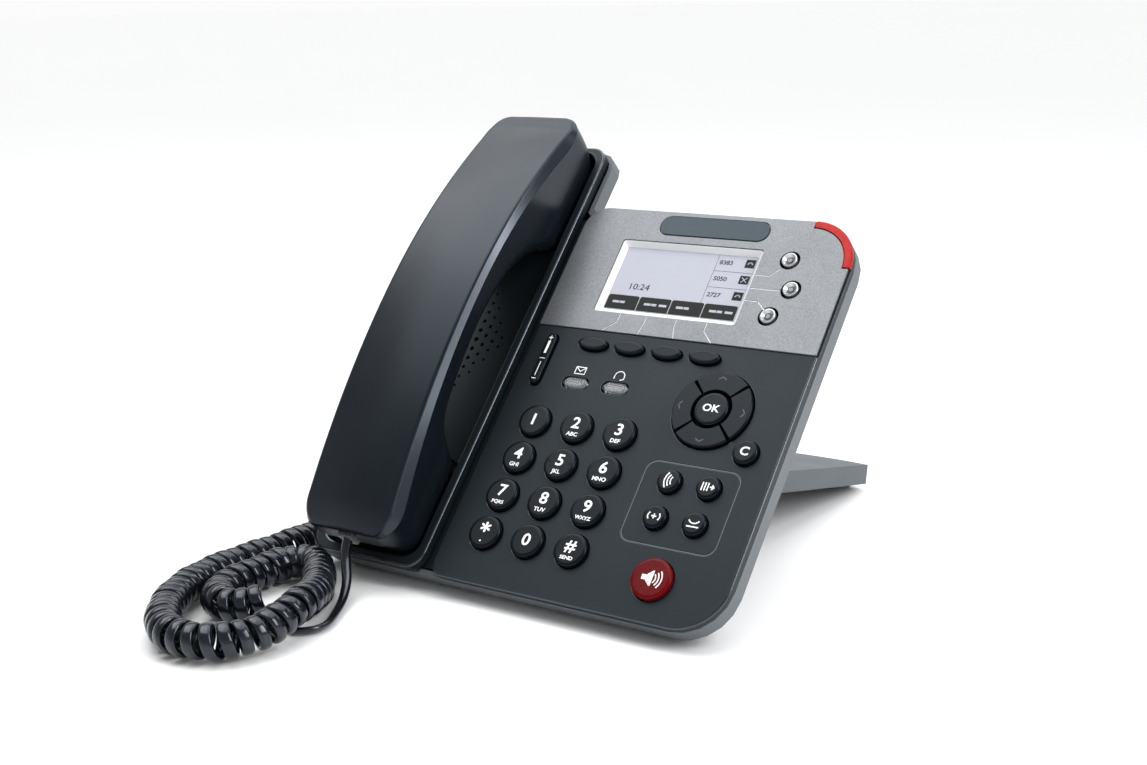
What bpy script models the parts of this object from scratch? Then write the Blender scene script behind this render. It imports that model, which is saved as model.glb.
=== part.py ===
"""Desk IP phone with a corded handset, as separate pieces.

World frame: +X to the user's right, +Y away from the user, +Z up, the desk at z = 0.
Most pieces hang on the face frame: an empty lying in the key panel, where local x runs
to the right across the panel (u), local y runs up the panel (v) and local z stands out
of it (n). Every size below is in millimetres and becomes metres in mm().
"""
import math

import bmesh
import bpy
from mathutils import Vector

# ---- driving dimensions, millimetres ----------------------------------------
FACE_TILT = 46.7            # degrees, panel against the desk
FACE_ORIGIN = (7.75, -97.25, 17.6)
GAP = 0.3                   # between touching pieces

PANEL = (-41.3, -12.0, 88.5, 168.0)         # u0, v0, u1, v1 of the key panel
CRADLE = (-104.0, -12.0, -45.8, 199.5)      # the same for the cradle beside it
PANEL_RADIUS = {"low_left": 6.0, "low_right": 20.0, "high_right": 21.0, "high_left": 10.0}
CRADLE_RADIUS = 8.0
COVER_THICK = 2.4
COVER_SKIRT = 3.2
WALL_DEPTH = 10.2           # where the side wall ends and the rear shell tapers
SHOULDER_DEPTH = 24.0
BACK_DEPTH = 30.0
SHOULDER_INSET = 12.5
BACK_INSET = 19.0
SHELL = 2.2

FACEPLATE_LOW = 106.3
FACEPLATE_TOP = 0.6
FACEPLATE_UNDER = -0.6
LCD_OPENING = (-18.0, 115.7, 49.0, 152.2)
BADGE = (-3.0, 156.0, 48.2, 165.4)
LAMP_WIDTH = 3.4

KEY_PROUD = 2.2
KEY_TRAVEL_ROOM = 1.6
KEY_SIDES = 16
FLANGE_TOP = -2.9
FLANGE_LOW = -4.1
KEY_CLEARANCE = 0.45
KEYPAD_FIRST = (-22.0, 60.6)
KEYPAD_PITCH = (20.4, 17.13)
KEYPAD_RADIUS = 7.08
KEYPAD_NAMES = ("1", "2", "3", "4", "5", "6", "7", "8", "9", "star", "0", "hash")
SOFT_FIRST = (-10.7, 99.4)
SOFT_PITCH = 17.55
SOFT_HALF = (7.0, 3.1)
LINE_KEYS = ((62.0, 148.1), (67.2, 134.5), (61.9, 121.3))
LINE_RADIUS = 3.6
NAV_CENTRE = (54.0, 77.0)
NAV_OUTER = 16.8
NAV_INNER = 8.8
NAV_SPAN = 78.0             # degrees covered by each arrow key
OK_RADIUS = 7.2
CLEAR_KEY = (74.5, 61.2)
CLEAR_RADIUS = 5.1
FUNCTION_FIRST = (48.2, 44.4)
FUNCTION_PITCH = (17.05, 15.46)
FUNCTION_RADIUS = 4.9
FUNCTION_NAMES = ("conference", "redial", "transfer", "hold")
SPEAKER_KEY = (56.8, 4.7)
SPEAKER_RADIUS = 8.3
VOLUME_CENTRE = (-31.2, 89.6)
VOLUME_HALF = (2.3, 12.2)
LENS_HALF = (6.1, 2.6)
MAIL_LENS = (-11.7, 80.8)
HEADSET_LENS = (7.4, 80.9)

TRAY_RIM = 1.0
TRAY_FLOOR = -6.0
TRAY_WELL = -8.0
TRAY_UNDER = -9.3
GRILLE_CENTRE = (-75.0, 98.4)
GRILLE_HOLE = 1.1

HANDSET_U = -75.0
HANDSET_LOW = -9.0
HANDSET_HIGH = 200.5
HANDSET_MID = 104.0
HANDSET_TOP = 35.6
HANDSET_ARCS = (405.0, 290.0)   # radii of the back, below and above its middle
HANDSET_WAIST = 24.0
HANDSET_WIDER = 0.5
HANDSET_LEAN = 2.6          # how far the sides lean in above the parting
HANDSET_PARTING = 2.8
HANDSET_PARTING_DROP = 2.7
HANDSET_PARTING_LEVEL = (4.0, 184.0)    # the parting runs level beyond these
HANDSET_END = 11.0

STAND_U = (-2.0, 50.0)
STAND_THICK = 9.3
STAND_SLOPE = 12.5          # degrees below the horizontal
STAND_TIP = (207.5, -15.4)  # underside of the tip: distance back, height, from the face origin

COIL_RADIUS = 7.2
LEAD_RADIUS = 1.5

HANDSET_PLUG_AT = (-75.0, -10.5, 13.2)
BASE_PLUG_AT = (-107.0, 45.0, -19.0)
PLUG_SIZE = (7.6, 6.2, 12.0)

# ---- routes of the cord, millimetres in the world frame -----------------------
# From the handset's plug down to the desk and under the coil.
LEAD_ROUTE = (
    (-67.2, -114.35, 18.7), (-66.5, -116.25, 15.5), (-63.5, -119.65, 11.0), (-58.6, -125.15, 6.5),
    (-53.5, -133.15, 3.2), (-48.5, -142.65, 1.8), (-44.0, -152.65, 1.6), (-44.3, -159.65, 1.6),
    (-49.0, -163.85, 1.6), (-54.0, -163.05, 1.7), (-58.6, -160.25, 2.2), (-62.4, -158.25, 3.0),
    (-65.1, -160.85, 3.5),
)
# The middle of the curly part, from its end inside the loop to its end beside the phone.
COIL_ROUTE = (
    (-66.5, -162.15, 9.0), (-71.5, -166.25, 7.8), (-79.0, -169.45, 7.4), (-88.3, -165.25, 7.4),
    (-93.6, -157.15, 7.4), (-94.9, -146.65, 7.4), (-94.4, -134.65, 7.4), (-93.5, -124.15, 7.4),
    (-86.5, -117.65, 7.4), (-77.5, -121.15, 7.4), (-68.0, -131.15, 7.4), (-58.5, -142.65, 8.4),
    (-52.0, -153.55, 10.4), (-48.8, -163.65, 10.9), (-47.5, -173.65, 9.6), (-48.6, -184.65, 7.9),
    (-54.5, -195.45, 7.4), (-66.0, -201.05, 7.4), (-79.5, -199.15, 7.4), (-92.0, -189.65, 7.4),
    (-102.0, -176.65, 7.4), (-109.0, -159.65, 7.4), (-111.0, -140.65, 7.4), (-109.0, -121.65, 7.4),
    (-107.0, -101.65, 7.4), (-106.2, -80.65, 7.4),
)
# From the coil up to the plug in the phone's left side.
TAIL_ROUTE = (
    (-106.3, -80.05, 8.6), (-108.0, -73.65, 9.2), (-112.6, -67.25, 12.0), (-117.6, -61.85, 17.4),
    (-119.8, -56.85, 24.4), (-117.4, -53.65, 31.2), (-111.4, -52.55, 35.8), (-105.2, -52.55, 37.2),
    (-99.6, -52.55, 37.3),
)

LIGHT = {
    "housing": ((0.032, 0.037, 0.041), 0.55, 0.0),
    "wall": ((0.10, 0.11, 0.12), 0.5, 0.0),
    "silver": ((0.30, 0.31, 0.32), 0.38, 0.6),
    "badge": ((0.09, 0.12, 0.14), 0.4, 0.0),
    "key": ((0.016, 0.018, 0.022), 0.35, 0.0),
    "clear": ((0.75, 0.76, 0.78), 0.1, 0.0),
    "screen": ((0.62, 0.62, 0.70), 0.3, 0.0),
    "red": ((0.55, 0.02, 0.01), 0.15, 0.0),
    "board": ((0.02, 0.10, 0.05), 0.5, 0.0),
    "rubber": ((0.03, 0.03, 0.03), 0.8, 0.0),
    "metal": ((0.45, 0.45, 0.46), 0.3, 1.0),
    "handset": ((0.018, 0.022, 0.030), 0.35, 0.0),
    "cord": ((0.012, 0.013, 0.018), 0.35, 0.0),
}


def mm(*values):
    """Millimetres to metres, as a vector."""
    return Vector(value * 0.001 for value in values)


def clear_scene():
    for item in list(bpy.data.objects):
        bpy.data.objects.remove(item, do_unlink=True)


def material(slot):
    """One Principled material for each finish."""
    found = bpy.data.materials.get(slot)
    if found:
        return found
    colour, roughness, metallic = LIGHT[slot]
    made = bpy.data.materials.new(slot)
    made.use_nodes = True
    shader = made.node_tree.nodes["Principled BSDF"]
    shader.inputs["Base Color"].default_value = (*colour, 1.0)
    shader.inputs["Roughness"].default_value = roughness
    shader.inputs["Metallic"].default_value = metallic
    return made


def add_object(name, mesh, slot, parent, location=(0.0, 0.0, 0.0)):
    """Link a mesh as a named piece on its parent empty."""
    made = bpy.data.objects.new(name, mesh)
    bpy.context.collection.objects.link(made)
    made.parent = parent
    made.location = mm(*location)
    mesh.materials.append(material(slot))
    return made


def add_empty(name, parent=None, location=(0.0, 0.0, 0.0), tilt=0.0):
    made = bpy.data.objects.new(name, None)
    bpy.context.collection.objects.link(made)
    made.parent = parent
    made.location = mm(*location)
    made.rotation_euler = (math.radians(tilt), 0.0, 0.0)
    return made


def mesh_from_rings(name, rings, closed=False):
    """Skin a stack of equal rings; the ends are capped unless the stack closes on itself."""
    build = bmesh.new()
    rows = [[build.verts.new(mm(*point)) for point in ring] for ring in rings]
    pairs = list(zip(rows, rows[1:]))
    if closed:
        pairs.append((rows[-1], rows[0]))
    for low, high in pairs:
        for i in range(len(low)):
            j = (i + 1) % len(low)
            build.faces.new((low[i], low[j], high[j], high[i]))
    if not closed:
        build.faces.new(list(reversed(rows[0])))
        build.faces.new(rows[-1])
    bmesh.ops.recalc_face_normals(build, faces=build.faces)
    mesh = bpy.data.meshes.new(name)
    build.to_mesh(mesh)
    build.free()
    return mesh


def at_height(outline, n):
    return [(u, v, n) for u, v in outline]


def prism(name, outline, low, high):
    return mesh_from_rings(name, [at_height(outline, low), at_height(outline, high)])


def smooth(item, angle=40.0):
    item.data.shade_smooth()
    item.data.set_sharp_from_angle(angle=math.radians(angle))


def arc_points(centre, radius, start, end, count):
    """Points on an arc, angles in degrees, both ends included."""
    points = []
    for i in range(count + 1):
        angle = math.radians(start + (end - start) * i / count)
        points.append((centre[0] + radius * math.cos(angle), centre[1] + radius * math.sin(angle)))
    return points


def ellipse(centre, half_u, half_v, sides=KEY_SIDES):
    points = []
    for i in range(sides):
        angle = 2.0 * math.pi * (i + 0.5) / sides
        points.append((centre[0] + half_u * math.cos(angle), centre[1] + half_v * math.sin(angle)))
    return points


def rounded_box(box, radii, count=4):
    """Outline of a box u0, v0, u1, v1; radii run low left, low right, high right, high left."""
    u0, v0, u1, v1 = box
    low_left, low_right, high_right, high_left = radii
    outline = arc_points((u0 + low_left, v0 + low_left), low_left, 180, 270, count)
    outline += arc_points((u1 - low_right, v0 + low_right), low_right, 270, 360, count)
    outline += arc_points((u1 - high_right, v1 - high_right), high_right, 0, 90, count)
    outline += arc_points((u0 + high_left, v1 - high_left), high_left, 90, 180, count)
    return outline


def inset_box(box, amount):
    return (box[0] + amount, box[1] + amount, box[2] - amount, box[3] - amount)


def add_cutter(name, mesh, parent):
    """A guide shape for a Boolean, left out of the model."""
    cutter = bpy.data.objects.new(name, mesh)
    bpy.context.collection.objects.link(cutter)
    cutter.parent = parent
    cutter.hide_render = True
    cutter.display_type = "WIRE"
    return cutter


def join_meshes(name, meshes):
    build = bmesh.new()
    for mesh in meshes:
        build.from_mesh(mesh)
    made = bpy.data.meshes.new(name)
    build.to_mesh(made)
    build.free()
    return made


def boolean(item, operation, mesh):
    """Cut item with a mesh, or add the mesh to it."""
    cutter = add_cutter(item.name + "_tool_" + str(len(item.modifiers)), mesh, item.parent)
    step = item.modifiers.new(operation.lower(), "BOOLEAN")
    step.operation = operation
    step.solver = "EXACT"
    step.object = cutter


# ---- housing -----------------------------------------------------------------
def panel_outline(inset):
    names = ("low_left", "low_right", "high_right", "high_left")
    radii = [max(PANEL_RADIUS[name] - inset, 1.0) for name in names]
    return rounded_box(inset_box(PANEL, inset), radii)


def body_outline(inset, left_inset):
    """Outline of panel and cradle together: a box with a taller box on its left."""
    left = CRADLE[0] + left_inset
    low = PANEL[1] + inset
    right = PANEL[2] - inset
    body_top = PANEL[3] - inset
    step = CRADLE[2] + 2.8 - inset
    cradle_top = CRADLE[3] - inset
    corner = max(CRADLE_RADIUS - min(inset, left_inset), 2.0)
    low_right = max(PANEL_RADIUS["low_right"] - inset, 3.0)
    high_right = max(PANEL_RADIUS["high_right"] - inset, 3.0)
    outline = arc_points((left + corner, low + corner), corner, 180, 270, 3)
    outline += arc_points((right - low_right, low + low_right), low_right, 270, 360, 5)
    outline += arc_points((right - high_right, body_top - high_right), high_right, 0, 90, 5)
    outline += arc_points((step + 1.5, body_top + 1.5), 1.5, 270, 180, 1)
    outline += arc_points((step - corner, cradle_top - corner), corner, 0, 90, 3)
    outline += arc_points((left + corner, cradle_top - corner), corner, 90, 180, 3)
    return outline


def rear_rings(inset, depths):
    """Rings of the tub, from its rim to its back."""
    rim, wall, shoulder, back = depths
    left_wall = inset
    return [
        at_height(body_outline(inset, left_wall), rim),
        at_height(body_outline(inset, left_wall), wall),
        at_height(body_outline(inset + SHOULDER_INSET, left_wall + 1.0), shoulder),
        at_height(body_outline(inset + BACK_INSET, left_wall + 3.0), back),
    ]


def make_rear_housing(face):
    rim = -COVER_SKIRT - GAP
    outer = mesh_from_rings("rear_housing", rear_rings(0.0, (rim, -WALL_DEPTH, -SHOULDER_DEPTH, -BACK_DEPTH)))
    housing = add_object("rear_housing", outer, "wall", face)
    depths = (rim + 1.0, -WALL_DEPTH + 1.0, -SHOULDER_DEPTH + 1.4, -BACK_DEPTH + SHELL)
    boolean(housing, "DIFFERENCE", mesh_from_rings("hollow", rear_rings(SHELL, depths)))
    plug_u, plug_v, plug_n = BASE_PLUG_AT
    half_v = PLUG_SIZE[0] / 2 + GAP
    half_n = PLUG_SIZE[1] / 2 + GAP
    jack = rounded_box((plug_u - 1.0, plug_v - half_v, plug_u + 12.0, plug_v + half_v), [0.4] * 4, 1)
    ports = rounded_box((-4.3, 117.7, 54.3, 134.3), [0.5] * 4, 1)
    cuts = [prism("jack", jack, plug_n - half_n, plug_n + half_n), prism("ports", ports, -40.0, -20.0)]
    for centre in hook_centres():
        slot = rounded_box((centre - 4.5, 51.6, centre + 4.5, 63.3), [0.4] * 4, 1)
        cuts.append(prism("slot", slot, -40.0, -20.0))
    boolean(housing, "DIFFERENCE", join_meshes("openings", cuts))
    return housing


def make_front_cover(face, key_holes):
    cover = add_object("front_cover", prism("front_cover", panel_outline(0.0), -COVER_SKIRT, 0.0), "housing", face)
    under = prism("under", panel_outline(SHELL), -COVER_SKIRT - 1.0, -COVER_THICK)
    boolean(cover, "DIFFERENCE", under)
    upper = (PANEL[0] - 5.0, FACEPLATE_LOW - GAP, PANEL[2] + 5.0, PANEL[3] + 5.0)
    boolean(cover, "DIFFERENCE", prism("upper", rounded_box(upper, [0.5] * 4, 1), -0.9, 2.0))
    screen = prism("screen", rounded_box(inset_box(LCD_OPENING, -1.0), [1.0] * 4, 1), -8.0, 4.0)
    boolean(cover, "DIFFERENCE", join_meshes("key_holes", [screen] + key_holes))
    return cover


def lamp_outline():
    """The corner strip that the message lamp fills, outer arc then inner arc."""
    radius = PANEL_RADIUS["high_right"]
    centre = (PANEL[2] - radius, PANEL[3] - radius)
    outer = arc_points(centre, radius, -2.0, 92.0, 8)
    inner = arc_points(centre, radius - LAMP_WIDTH, 92.0, -2.0, 8)
    return outer + inner


def make_faceplate(face):
    box = (PANEL[0] + 0.2, FACEPLATE_LOW, PANEL[2] - 0.8, PANEL[3] - 0.2)
    outline = rounded_box(box, [0.6, 0.6, PANEL_RADIUS["high_right"] - 0.5, PANEL_RADIUS["high_left"]], 6)
    plate = add_object("faceplate", prism("faceplate", outline, FACEPLATE_UNDER, FACEPLATE_TOP), "silver", face)
    radius = PANEL_RADIUS["high_right"]
    centre = (PANEL[2] - radius, PANEL[3] - radius)
    strip = arc_points(centre, radius + 4.0, -3.0, 93.0, 8)
    strip += arc_points(centre, radius - LAMP_WIDTH - GAP, 93.0, -3.0, 8)
    cuts = [prism("strip", strip, -3.0, 3.0)]
    cuts.append(prism("window", rounded_box(LCD_OPENING, [1.2] * 4, 2), -3.0, 3.0))
    cuts.append(prism("badge_seat", rounded_box(inset_box(BADGE, -GAP), [4.6] * 4, 4), -0.1, 3.0))
    for centre in LINE_KEYS:
        hole = ellipse(centre, LINE_RADIUS + KEY_CLEARANCE, LINE_RADIUS + KEY_CLEARANCE)
        cuts.append(prism("line_hole", hole, -3.0, 3.0))
    boolean(plate, "DIFFERENCE", join_meshes("plate_cuts", cuts))
    badge = prism("name_badge", rounded_box(BADGE, [4.4] * 4, 4), 0.2, 0.9)
    add_object("name_badge", badge, "badge", face)
    lamp = add_object("message_lamp", prism("message_lamp", lamp_outline(), FACEPLATE_UNDER, 0.9), "red", face)
    smooth(lamp)


def make_screen(face):
    window = prism("lcd_window", rounded_box(inset_box(LCD_OPENING, -2.4), [1.0] * 4, 1), -4.2, -2.7)
    add_object("lcd_window", window, "clear", face)
    panel = prism("lcd_panel", rounded_box(inset_box(LCD_OPENING, -3.2), [1.0] * 4, 1), -8.6, -4.5)
    add_object("lcd_panel", panel, "screen", face)


def make_cradle(face):
    u0, v0, u1, v1 = CRADLE
    rim = prism("cradle_tray", rounded_box(CRADLE, [CRADLE_RADIUS] * 4), -COVER_SKIRT, TRAY_RIM)
    tray = add_object("cradle_tray", rim, "housing", face)
    lower = prism("lower", rounded_box(inset_box(CRADLE, 3.0), [5.0] * 4), TRAY_UNDER, -COVER_SKIRT + 0.5)
    boolean(tray, "UNION", lower)
    riser = rounded_box((u1 - 3.0, -9.0, u1, 162.0), [0.3] * 4, 1)
    boolean(tray, "UNION", prism("riser", riser, -6.0, -2.7))
    ledge = rounded_box((u1 - 0.7, -9.0, PANEL[0] + 0.8, 162.0), [0.3] * 4, 1)
    boolean(tray, "UNION", prism("ledge", ledge, -5.5, -COVER_SKIRT - 0.4))
    pocket = rounded_box((u0 + 3.0, v0 - 6.0, u1 - 3.0, v1 - 3.0), [6.0] * 4)
    boolean(tray, "DIFFERENCE", prism("pocket", pocket, TRAY_FLOOR, TRAY_RIM + 3.0))
    mouth = rounded_box((-98.5, -8.0, -51.5, 40.5), [9.0] * 4, 3)
    ear = rounded_box((-98.5, 146.0, -51.5, 195.5), [9.0] * 4, 3)
    wells = [prism("mouth_well", mouth, TRAY_WELL, -5.0), prism("ear_well", ear, TRAY_WELL, -5.0)]
    boolean(tray, "DIFFERENCE", join_meshes("wells", wells))
    holes = [prism("hook_hole", rounded_box((-79.4, 158.6, -70.6, 165.4), [0.4] * 4, 1), -20.0, 4.0)]
    for u, v in ((0.0, 0.0), (8.0, 8.0), (-8.0, 8.0), (8.0, -8.0), (-8.0, -8.0), (0.0, 16.0), (0.0, -16.0)):
        centre = (GRILLE_CENTRE[0] + u, GRILLE_CENTRE[1] + v)
        holes.append(prism("grille", ellipse(centre, GRILLE_HOLE, GRILLE_HOLE, 8), -20.0, 4.0))
    boolean(tray, "DIFFERENCE", join_meshes("tray_holes", holes))
    hook = prism("hook_switch", rounded_box((-79.0, 159.0, -71.0, 165.0), [0.8] * 4, 1), -16.0, -8.0)
    add_object("hook_switch", hook, "key", face)


# ---- keys --------------------------------------------------------------------
def key_mesh(name, outline_at, top=KEY_PROUD):
    """A cap with a rounded top edge on a flange that keeps it under the cover."""
    rings = [
        at_height(outline_at(1.0), FLANGE_LOW),
        at_height(outline_at(1.0), FLANGE_TOP),
        at_height(outline_at(0.0), FLANGE_TOP),
        at_height(outline_at(0.0), top - 0.7),
        at_height(outline_at(-0.7), top),
    ]
    return mesh_from_rings(name, rings)


def add_key(name, centre, half_u, half_v, face, slot="key", sides=KEY_SIDES, top=KEY_PROUD):
    """A round or oval key with its origin on its own centre line; returns its hole."""
    def outline_at(grow):
        return ellipse((0.0, 0.0), half_u + grow, half_v + grow, sides)
    key = add_object(name, key_mesh(name, outline_at, top), slot, face, (*centre, 0.0))
    smooth(key)
    hole = ellipse(centre, half_u + KEY_CLEARANCE, half_v + KEY_CLEARANCE, sides)
    return prism(name + "_hole", hole, -9.0, 5.0)


def sector(inner, outer, middle, span, count=5):
    """A ring sector around the origin; middle and span in degrees."""
    outline = arc_points((0.0, 0.0), outer, middle - span / 2, middle + span / 2, count)
    outline += arc_points((0.0, 0.0), inner, middle + span / 2, middle - span / 2, count)
    return outline


def make_arrow_keys(face):
    for name, middle in (("right", 0.0), ("up", 90.0), ("left", 180.0), ("down", 270.0)):
        low = sector(NAV_INNER, NAV_OUTER, middle, NAV_SPAN)
        high = sector(NAV_INNER + 0.6, NAV_OUTER - 0.7, middle, NAV_SPAN - 6.0)
        rings = [at_height(low, FLANGE_LOW), at_height(low, 0.7), at_height(high, 1.4)]
        key = add_object("arrow_key_" + name, mesh_from_rings("arrow_key", rings), "key", face, (*NAV_CENTRE, 0.0))
        smooth(key)
    moat = ellipse(NAV_CENTRE, NAV_OUTER + 0.6, NAV_OUTER + 0.6, 32)
    return prism("moat", moat, -9.0, 5.0)


def make_keys(face):
    """All the keys; returns the holes that the front cover needs for them."""
    holes = []
    for i, label in enumerate(KEYPAD_NAMES):
        centre = (KEYPAD_FIRST[0] + (i % 3) * KEYPAD_PITCH[0], KEYPAD_FIRST[1] - (i // 3) * KEYPAD_PITCH[1])
        holes.append(add_key("key_" + label, centre, KEYPAD_RADIUS, KEYPAD_RADIUS, face))
    for i in range(4):
        centre = (SOFT_FIRST[0] + i * SOFT_PITCH, SOFT_FIRST[1])
        holes.append(add_key("soft_key_" + str(i + 1), centre, SOFT_HALF[0], SOFT_HALF[1], face))
    for i, centre in enumerate(LINE_KEYS):
        holes.append(add_key("line_key_" + str(i + 1), centre, LINE_RADIUS, LINE_RADIUS, face, "clear", 12))
    for i, label in enumerate(FUNCTION_NAMES):
        centre = (FUNCTION_FIRST[0] + (i % 2) * FUNCTION_PITCH[0], FUNCTION_FIRST[1] - (i // 2) * FUNCTION_PITCH[1])
        holes.append(add_key("function_key_" + label, centre, FUNCTION_RADIUS, FUNCTION_RADIUS, face))
    holes.append(add_key("clear_key", CLEAR_KEY, CLEAR_RADIUS, CLEAR_RADIUS, face))
    holes.append(add_key("speaker_key", SPEAKER_KEY, SPEAKER_RADIUS, SPEAKER_RADIUS, face, "red"))
    add_key("ok_key", NAV_CENTRE, OK_RADIUS, OK_RADIUS, face)
    holes.append(make_arrow_keys(face))
    return holes


def capsule(half_u, half_v, grow=0.0):
    box = (-half_u - grow, -half_v - grow, half_u + grow, half_v + grow)
    radius = min(half_u, half_v) + grow
    return rounded_box(box, [radius * 0.98] * 4, 3)


def make_volume_rocker(face):
    """The rocker turns about a pin along u, half way down its length."""
    pivot = add_empty("volume_axis", face, (*VOLUME_CENTRE, -3.0))
    rings = [
        at_height(capsule(*VOLUME_HALF), -1.4),
        at_height(capsule(*VOLUME_HALF), 4.2),
        at_height(capsule(*VOLUME_HALF, grow=-0.6), 4.8),
    ]
    rocker = add_object("volume_rocker", mesh_from_rings("volume_rocker", rings), "key", pivot)
    smooth(rocker)
    outline = [(u + VOLUME_CENTRE[0], v + VOLUME_CENTRE[1]) for u, v in capsule(*VOLUME_HALF, grow=KEY_CLEARANCE)]
    return prism("rocker_hole", outline, -9.0, 5.0)


def make_lens(name, centre, face):
    """A clear pill between the front cover's key rows."""
    rings = [at_height(capsule(*LENS_HALF), -4.4), at_height(capsule(*LENS_HALF), 0.1)]
    rings.append(at_height(capsule(*LENS_HALF, grow=-1.2), 0.9))
    add_object(name, mesh_from_rings(name, rings), "clear", face, (*centre, 0.0))
    outline = [(u + centre[0], v + centre[1]) for u, v in capsule(*LENS_HALF, grow=GAP)]
    return prism(name + "_hole", outline, -9.0, 5.0)


# ---- inside the housing --------------------------------------------------------
def turned(name, centre, profile, sides=20):
    """A round piece on an axis along n, from (radius, n) pairs, low end first."""
    rings = [at_height(ellipse(centre, radius, radius, sides), n) for radius, n in profile]
    return mesh_from_rings(name, rings)


def make_inside(face):
    mat = prism("key_mat", rounded_box((-36.0, -6.5, 83.0, 105.0), [6.0, 16.0, 6.0, 6.0], 3), -9.3, -6.0)
    add_object("key_mat", mat, "rubber", face)
    board = prism("main_board", rounded_box((-37.0, -6.0, 83.0, 161.5), [3.0, 16.0, 18.0, 3.0], 3), -11.3, -9.7)
    add_object("main_board", board, "board", face)
    profile = ((11.0, -25.4), (12.0, -20.0), (20.0, -14.2), (20.0, -10.8))
    speaker = add_object("loudspeaker", turned("loudspeaker", GRILLE_CENTRE, profile), "metal", face)
    smooth(speaker)
    block = prism("port_block", rounded_box((-4.0, 118.0, 54.0, 134.0), [0.5] * 4, 1), -BACK_DEPTH, -11.6)
    ports = add_object("port_block", block, "metal", face)
    sockets = []
    for left in (0.5, 17.5):
        socket = rounded_box((left, 121.5, left + 11.8, 130.5), [0.3] * 4, 1)
        sockets.append(prism("socket", socket, -40.0, -16.5))
    sockets.append(prism("power", ellipse((43.0, 126.0), 2.8, 2.8, 16), -40.0, -18.0))
    boolean(ports, "DIFFERENCE", join_meshes("sockets", sockets))


# ---- stand and feet --------------------------------------------------------------
def hook_centres():
    middle = (STAND_U[0] + STAND_U[1]) / 2
    return (middle - 16.0, middle + 16.0)


def to_face(back, height):
    """Distance behind and height above the face origin, to (v, n) in the panel."""
    tilt = math.radians(FACE_TILT)
    return (back * math.cos(tilt) + height * math.sin(tilt), height * math.cos(tilt) - back * math.sin(tilt))


def stand_line(distance, lift):
    """A point on the stand's side view: distance in front of the tip, lift above its underside."""
    slope = math.radians(STAND_SLOPE)
    back = STAND_TIP[0] - distance * math.cos(slope) + lift * math.sin(slope)
    height = STAND_TIP[1] + distance * math.sin(slope) + lift * math.cos(slope)
    return to_face(back, height)


def across(profile, u0, u1):
    """Rings of one side view, (v, n) pairs, at two places along u."""
    return [[(u0, v, n) for v, n in profile], [(u1, v, n) for v, n in profile]]


def make_stand(face):
    flange_back = -BACK_DEPTH - GAP
    root_low = stand_line(145.0, 0.0)
    root_high = stand_line(143.5, STAND_THICK)
    rings = []
    middle = (STAND_U[0] + STAND_U[1]) / 2
    half = (STAND_U[1] - STAND_U[0]) / 2
    for i in range(7):
        place = -1.0 + i / 3.0
        bulge = 5.0 * (1.0 - place * place)
        profile = [root_low, stand_line(-bulge, 0.0), stand_line(-bulge, STAND_THICK), root_high]
        rings.append([(middle + half * place, v, n) for v, n in profile])
    stand = add_object("stand", mesh_from_rings("stand", rings), "wall", face)
    flange = [(44.0, flange_back - 4.0), (74.0, flange_back - 4.0), (74.0, flange_back), (44.0, flange_back)]
    boolean(stand, "UNION", mesh_from_rings("flange", across(flange, STAND_U[0] + 0.7, STAND_U[1] - 0.7)))
    for centre in hook_centres():
        hook = [(60.0, flange_back - 1.0), (63.0, flange_back - 1.0), (63.0, -27.2), (67.0, -27.2), (67.0, -25.2),
                (60.0, -25.2)]
        boolean(stand, "UNION", mesh_from_rings("hook", across(hook, centre - 4.0, centre + 4.0)))
    hollow = [stand_line(122.0, -2.0), stand_line(4.0, -2.0), stand_line(4.0, STAND_THICK - SHELL),
              stand_line(122.0, STAND_THICK - SHELL)]
    for u0, u1 in ((STAND_U[0] + SHELL, middle - 1.1), (middle + 1.1, STAND_U[1] - SHELL)):
        boolean(stand, "DIFFERENCE", mesh_from_rings("hollow", across(hollow, u0, u1)))


def make_feet(face):
    """Rubber feet with level undersides; the rear one fills the wedge under the stand's tip."""
    desk = -FACE_ORIGIN[2]
    slope = math.tan(math.radians(STAND_SLOPE))
    back_edge = STAND_TIP[0] + 1.5
    front_edge = STAND_TIP[0] + 1.5 - 3.4
    under = STAND_TIP[1] - GAP
    pad = [to_face(front_edge, desk), to_face(back_edge, desk),
           to_face(back_edge, under + (STAND_TIP[0] - back_edge) * slope),
           to_face(front_edge, under + (STAND_TIP[0] - front_edge) * slope)]
    rings = across(pad, STAND_U[0] + 8.0, STAND_U[1] - 8.0)
    add_object("stand_pad", mesh_from_rings("stand_pad", rings), "rubber", face)
    low = to_face(6.0, desk)
    high = to_face(16.0, desk)
    foot_top = -16.3
    for name, left in (("foot_left", -93.0), ("foot_right", 48.0)):
        profile = [low, high, to_face(16.0, foot_top), to_face(6.0, foot_top)]
        foot = mesh_from_rings(name, across(profile, left, left + 16.0))
        add_object(name, foot, "rubber", face)


# ---- handset -----------------------------------------------------------------------
def end_round(v, inset=0.0):
    """0 at the handset's ends, 1 away from them, along a quarter ellipse."""
    nearest = min(v - HANDSET_LOW - inset, HANDSET_HIGH - inset - v)
    share = max(0.0, 1.0 - max(nearest, 0.0) / HANDSET_END)
    return math.sqrt(max(0.0, 1.0 - share * share))


def handset_half(v, inset=0.0):
    base = HANDSET_WAIST + HANDSET_WIDER * ((v - HANDSET_MID) / 95.0) ** 2
    return base - inset - 9.0 * (1.0 - end_round(v, inset))


def handset_arc(v):
    radius = HANDSET_ARCS[0] if v < HANDSET_MID else HANDSET_ARCS[1]
    return HANDSET_TOP - (v - HANDSET_MID) ** 2 / (2.0 * radius)


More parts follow.
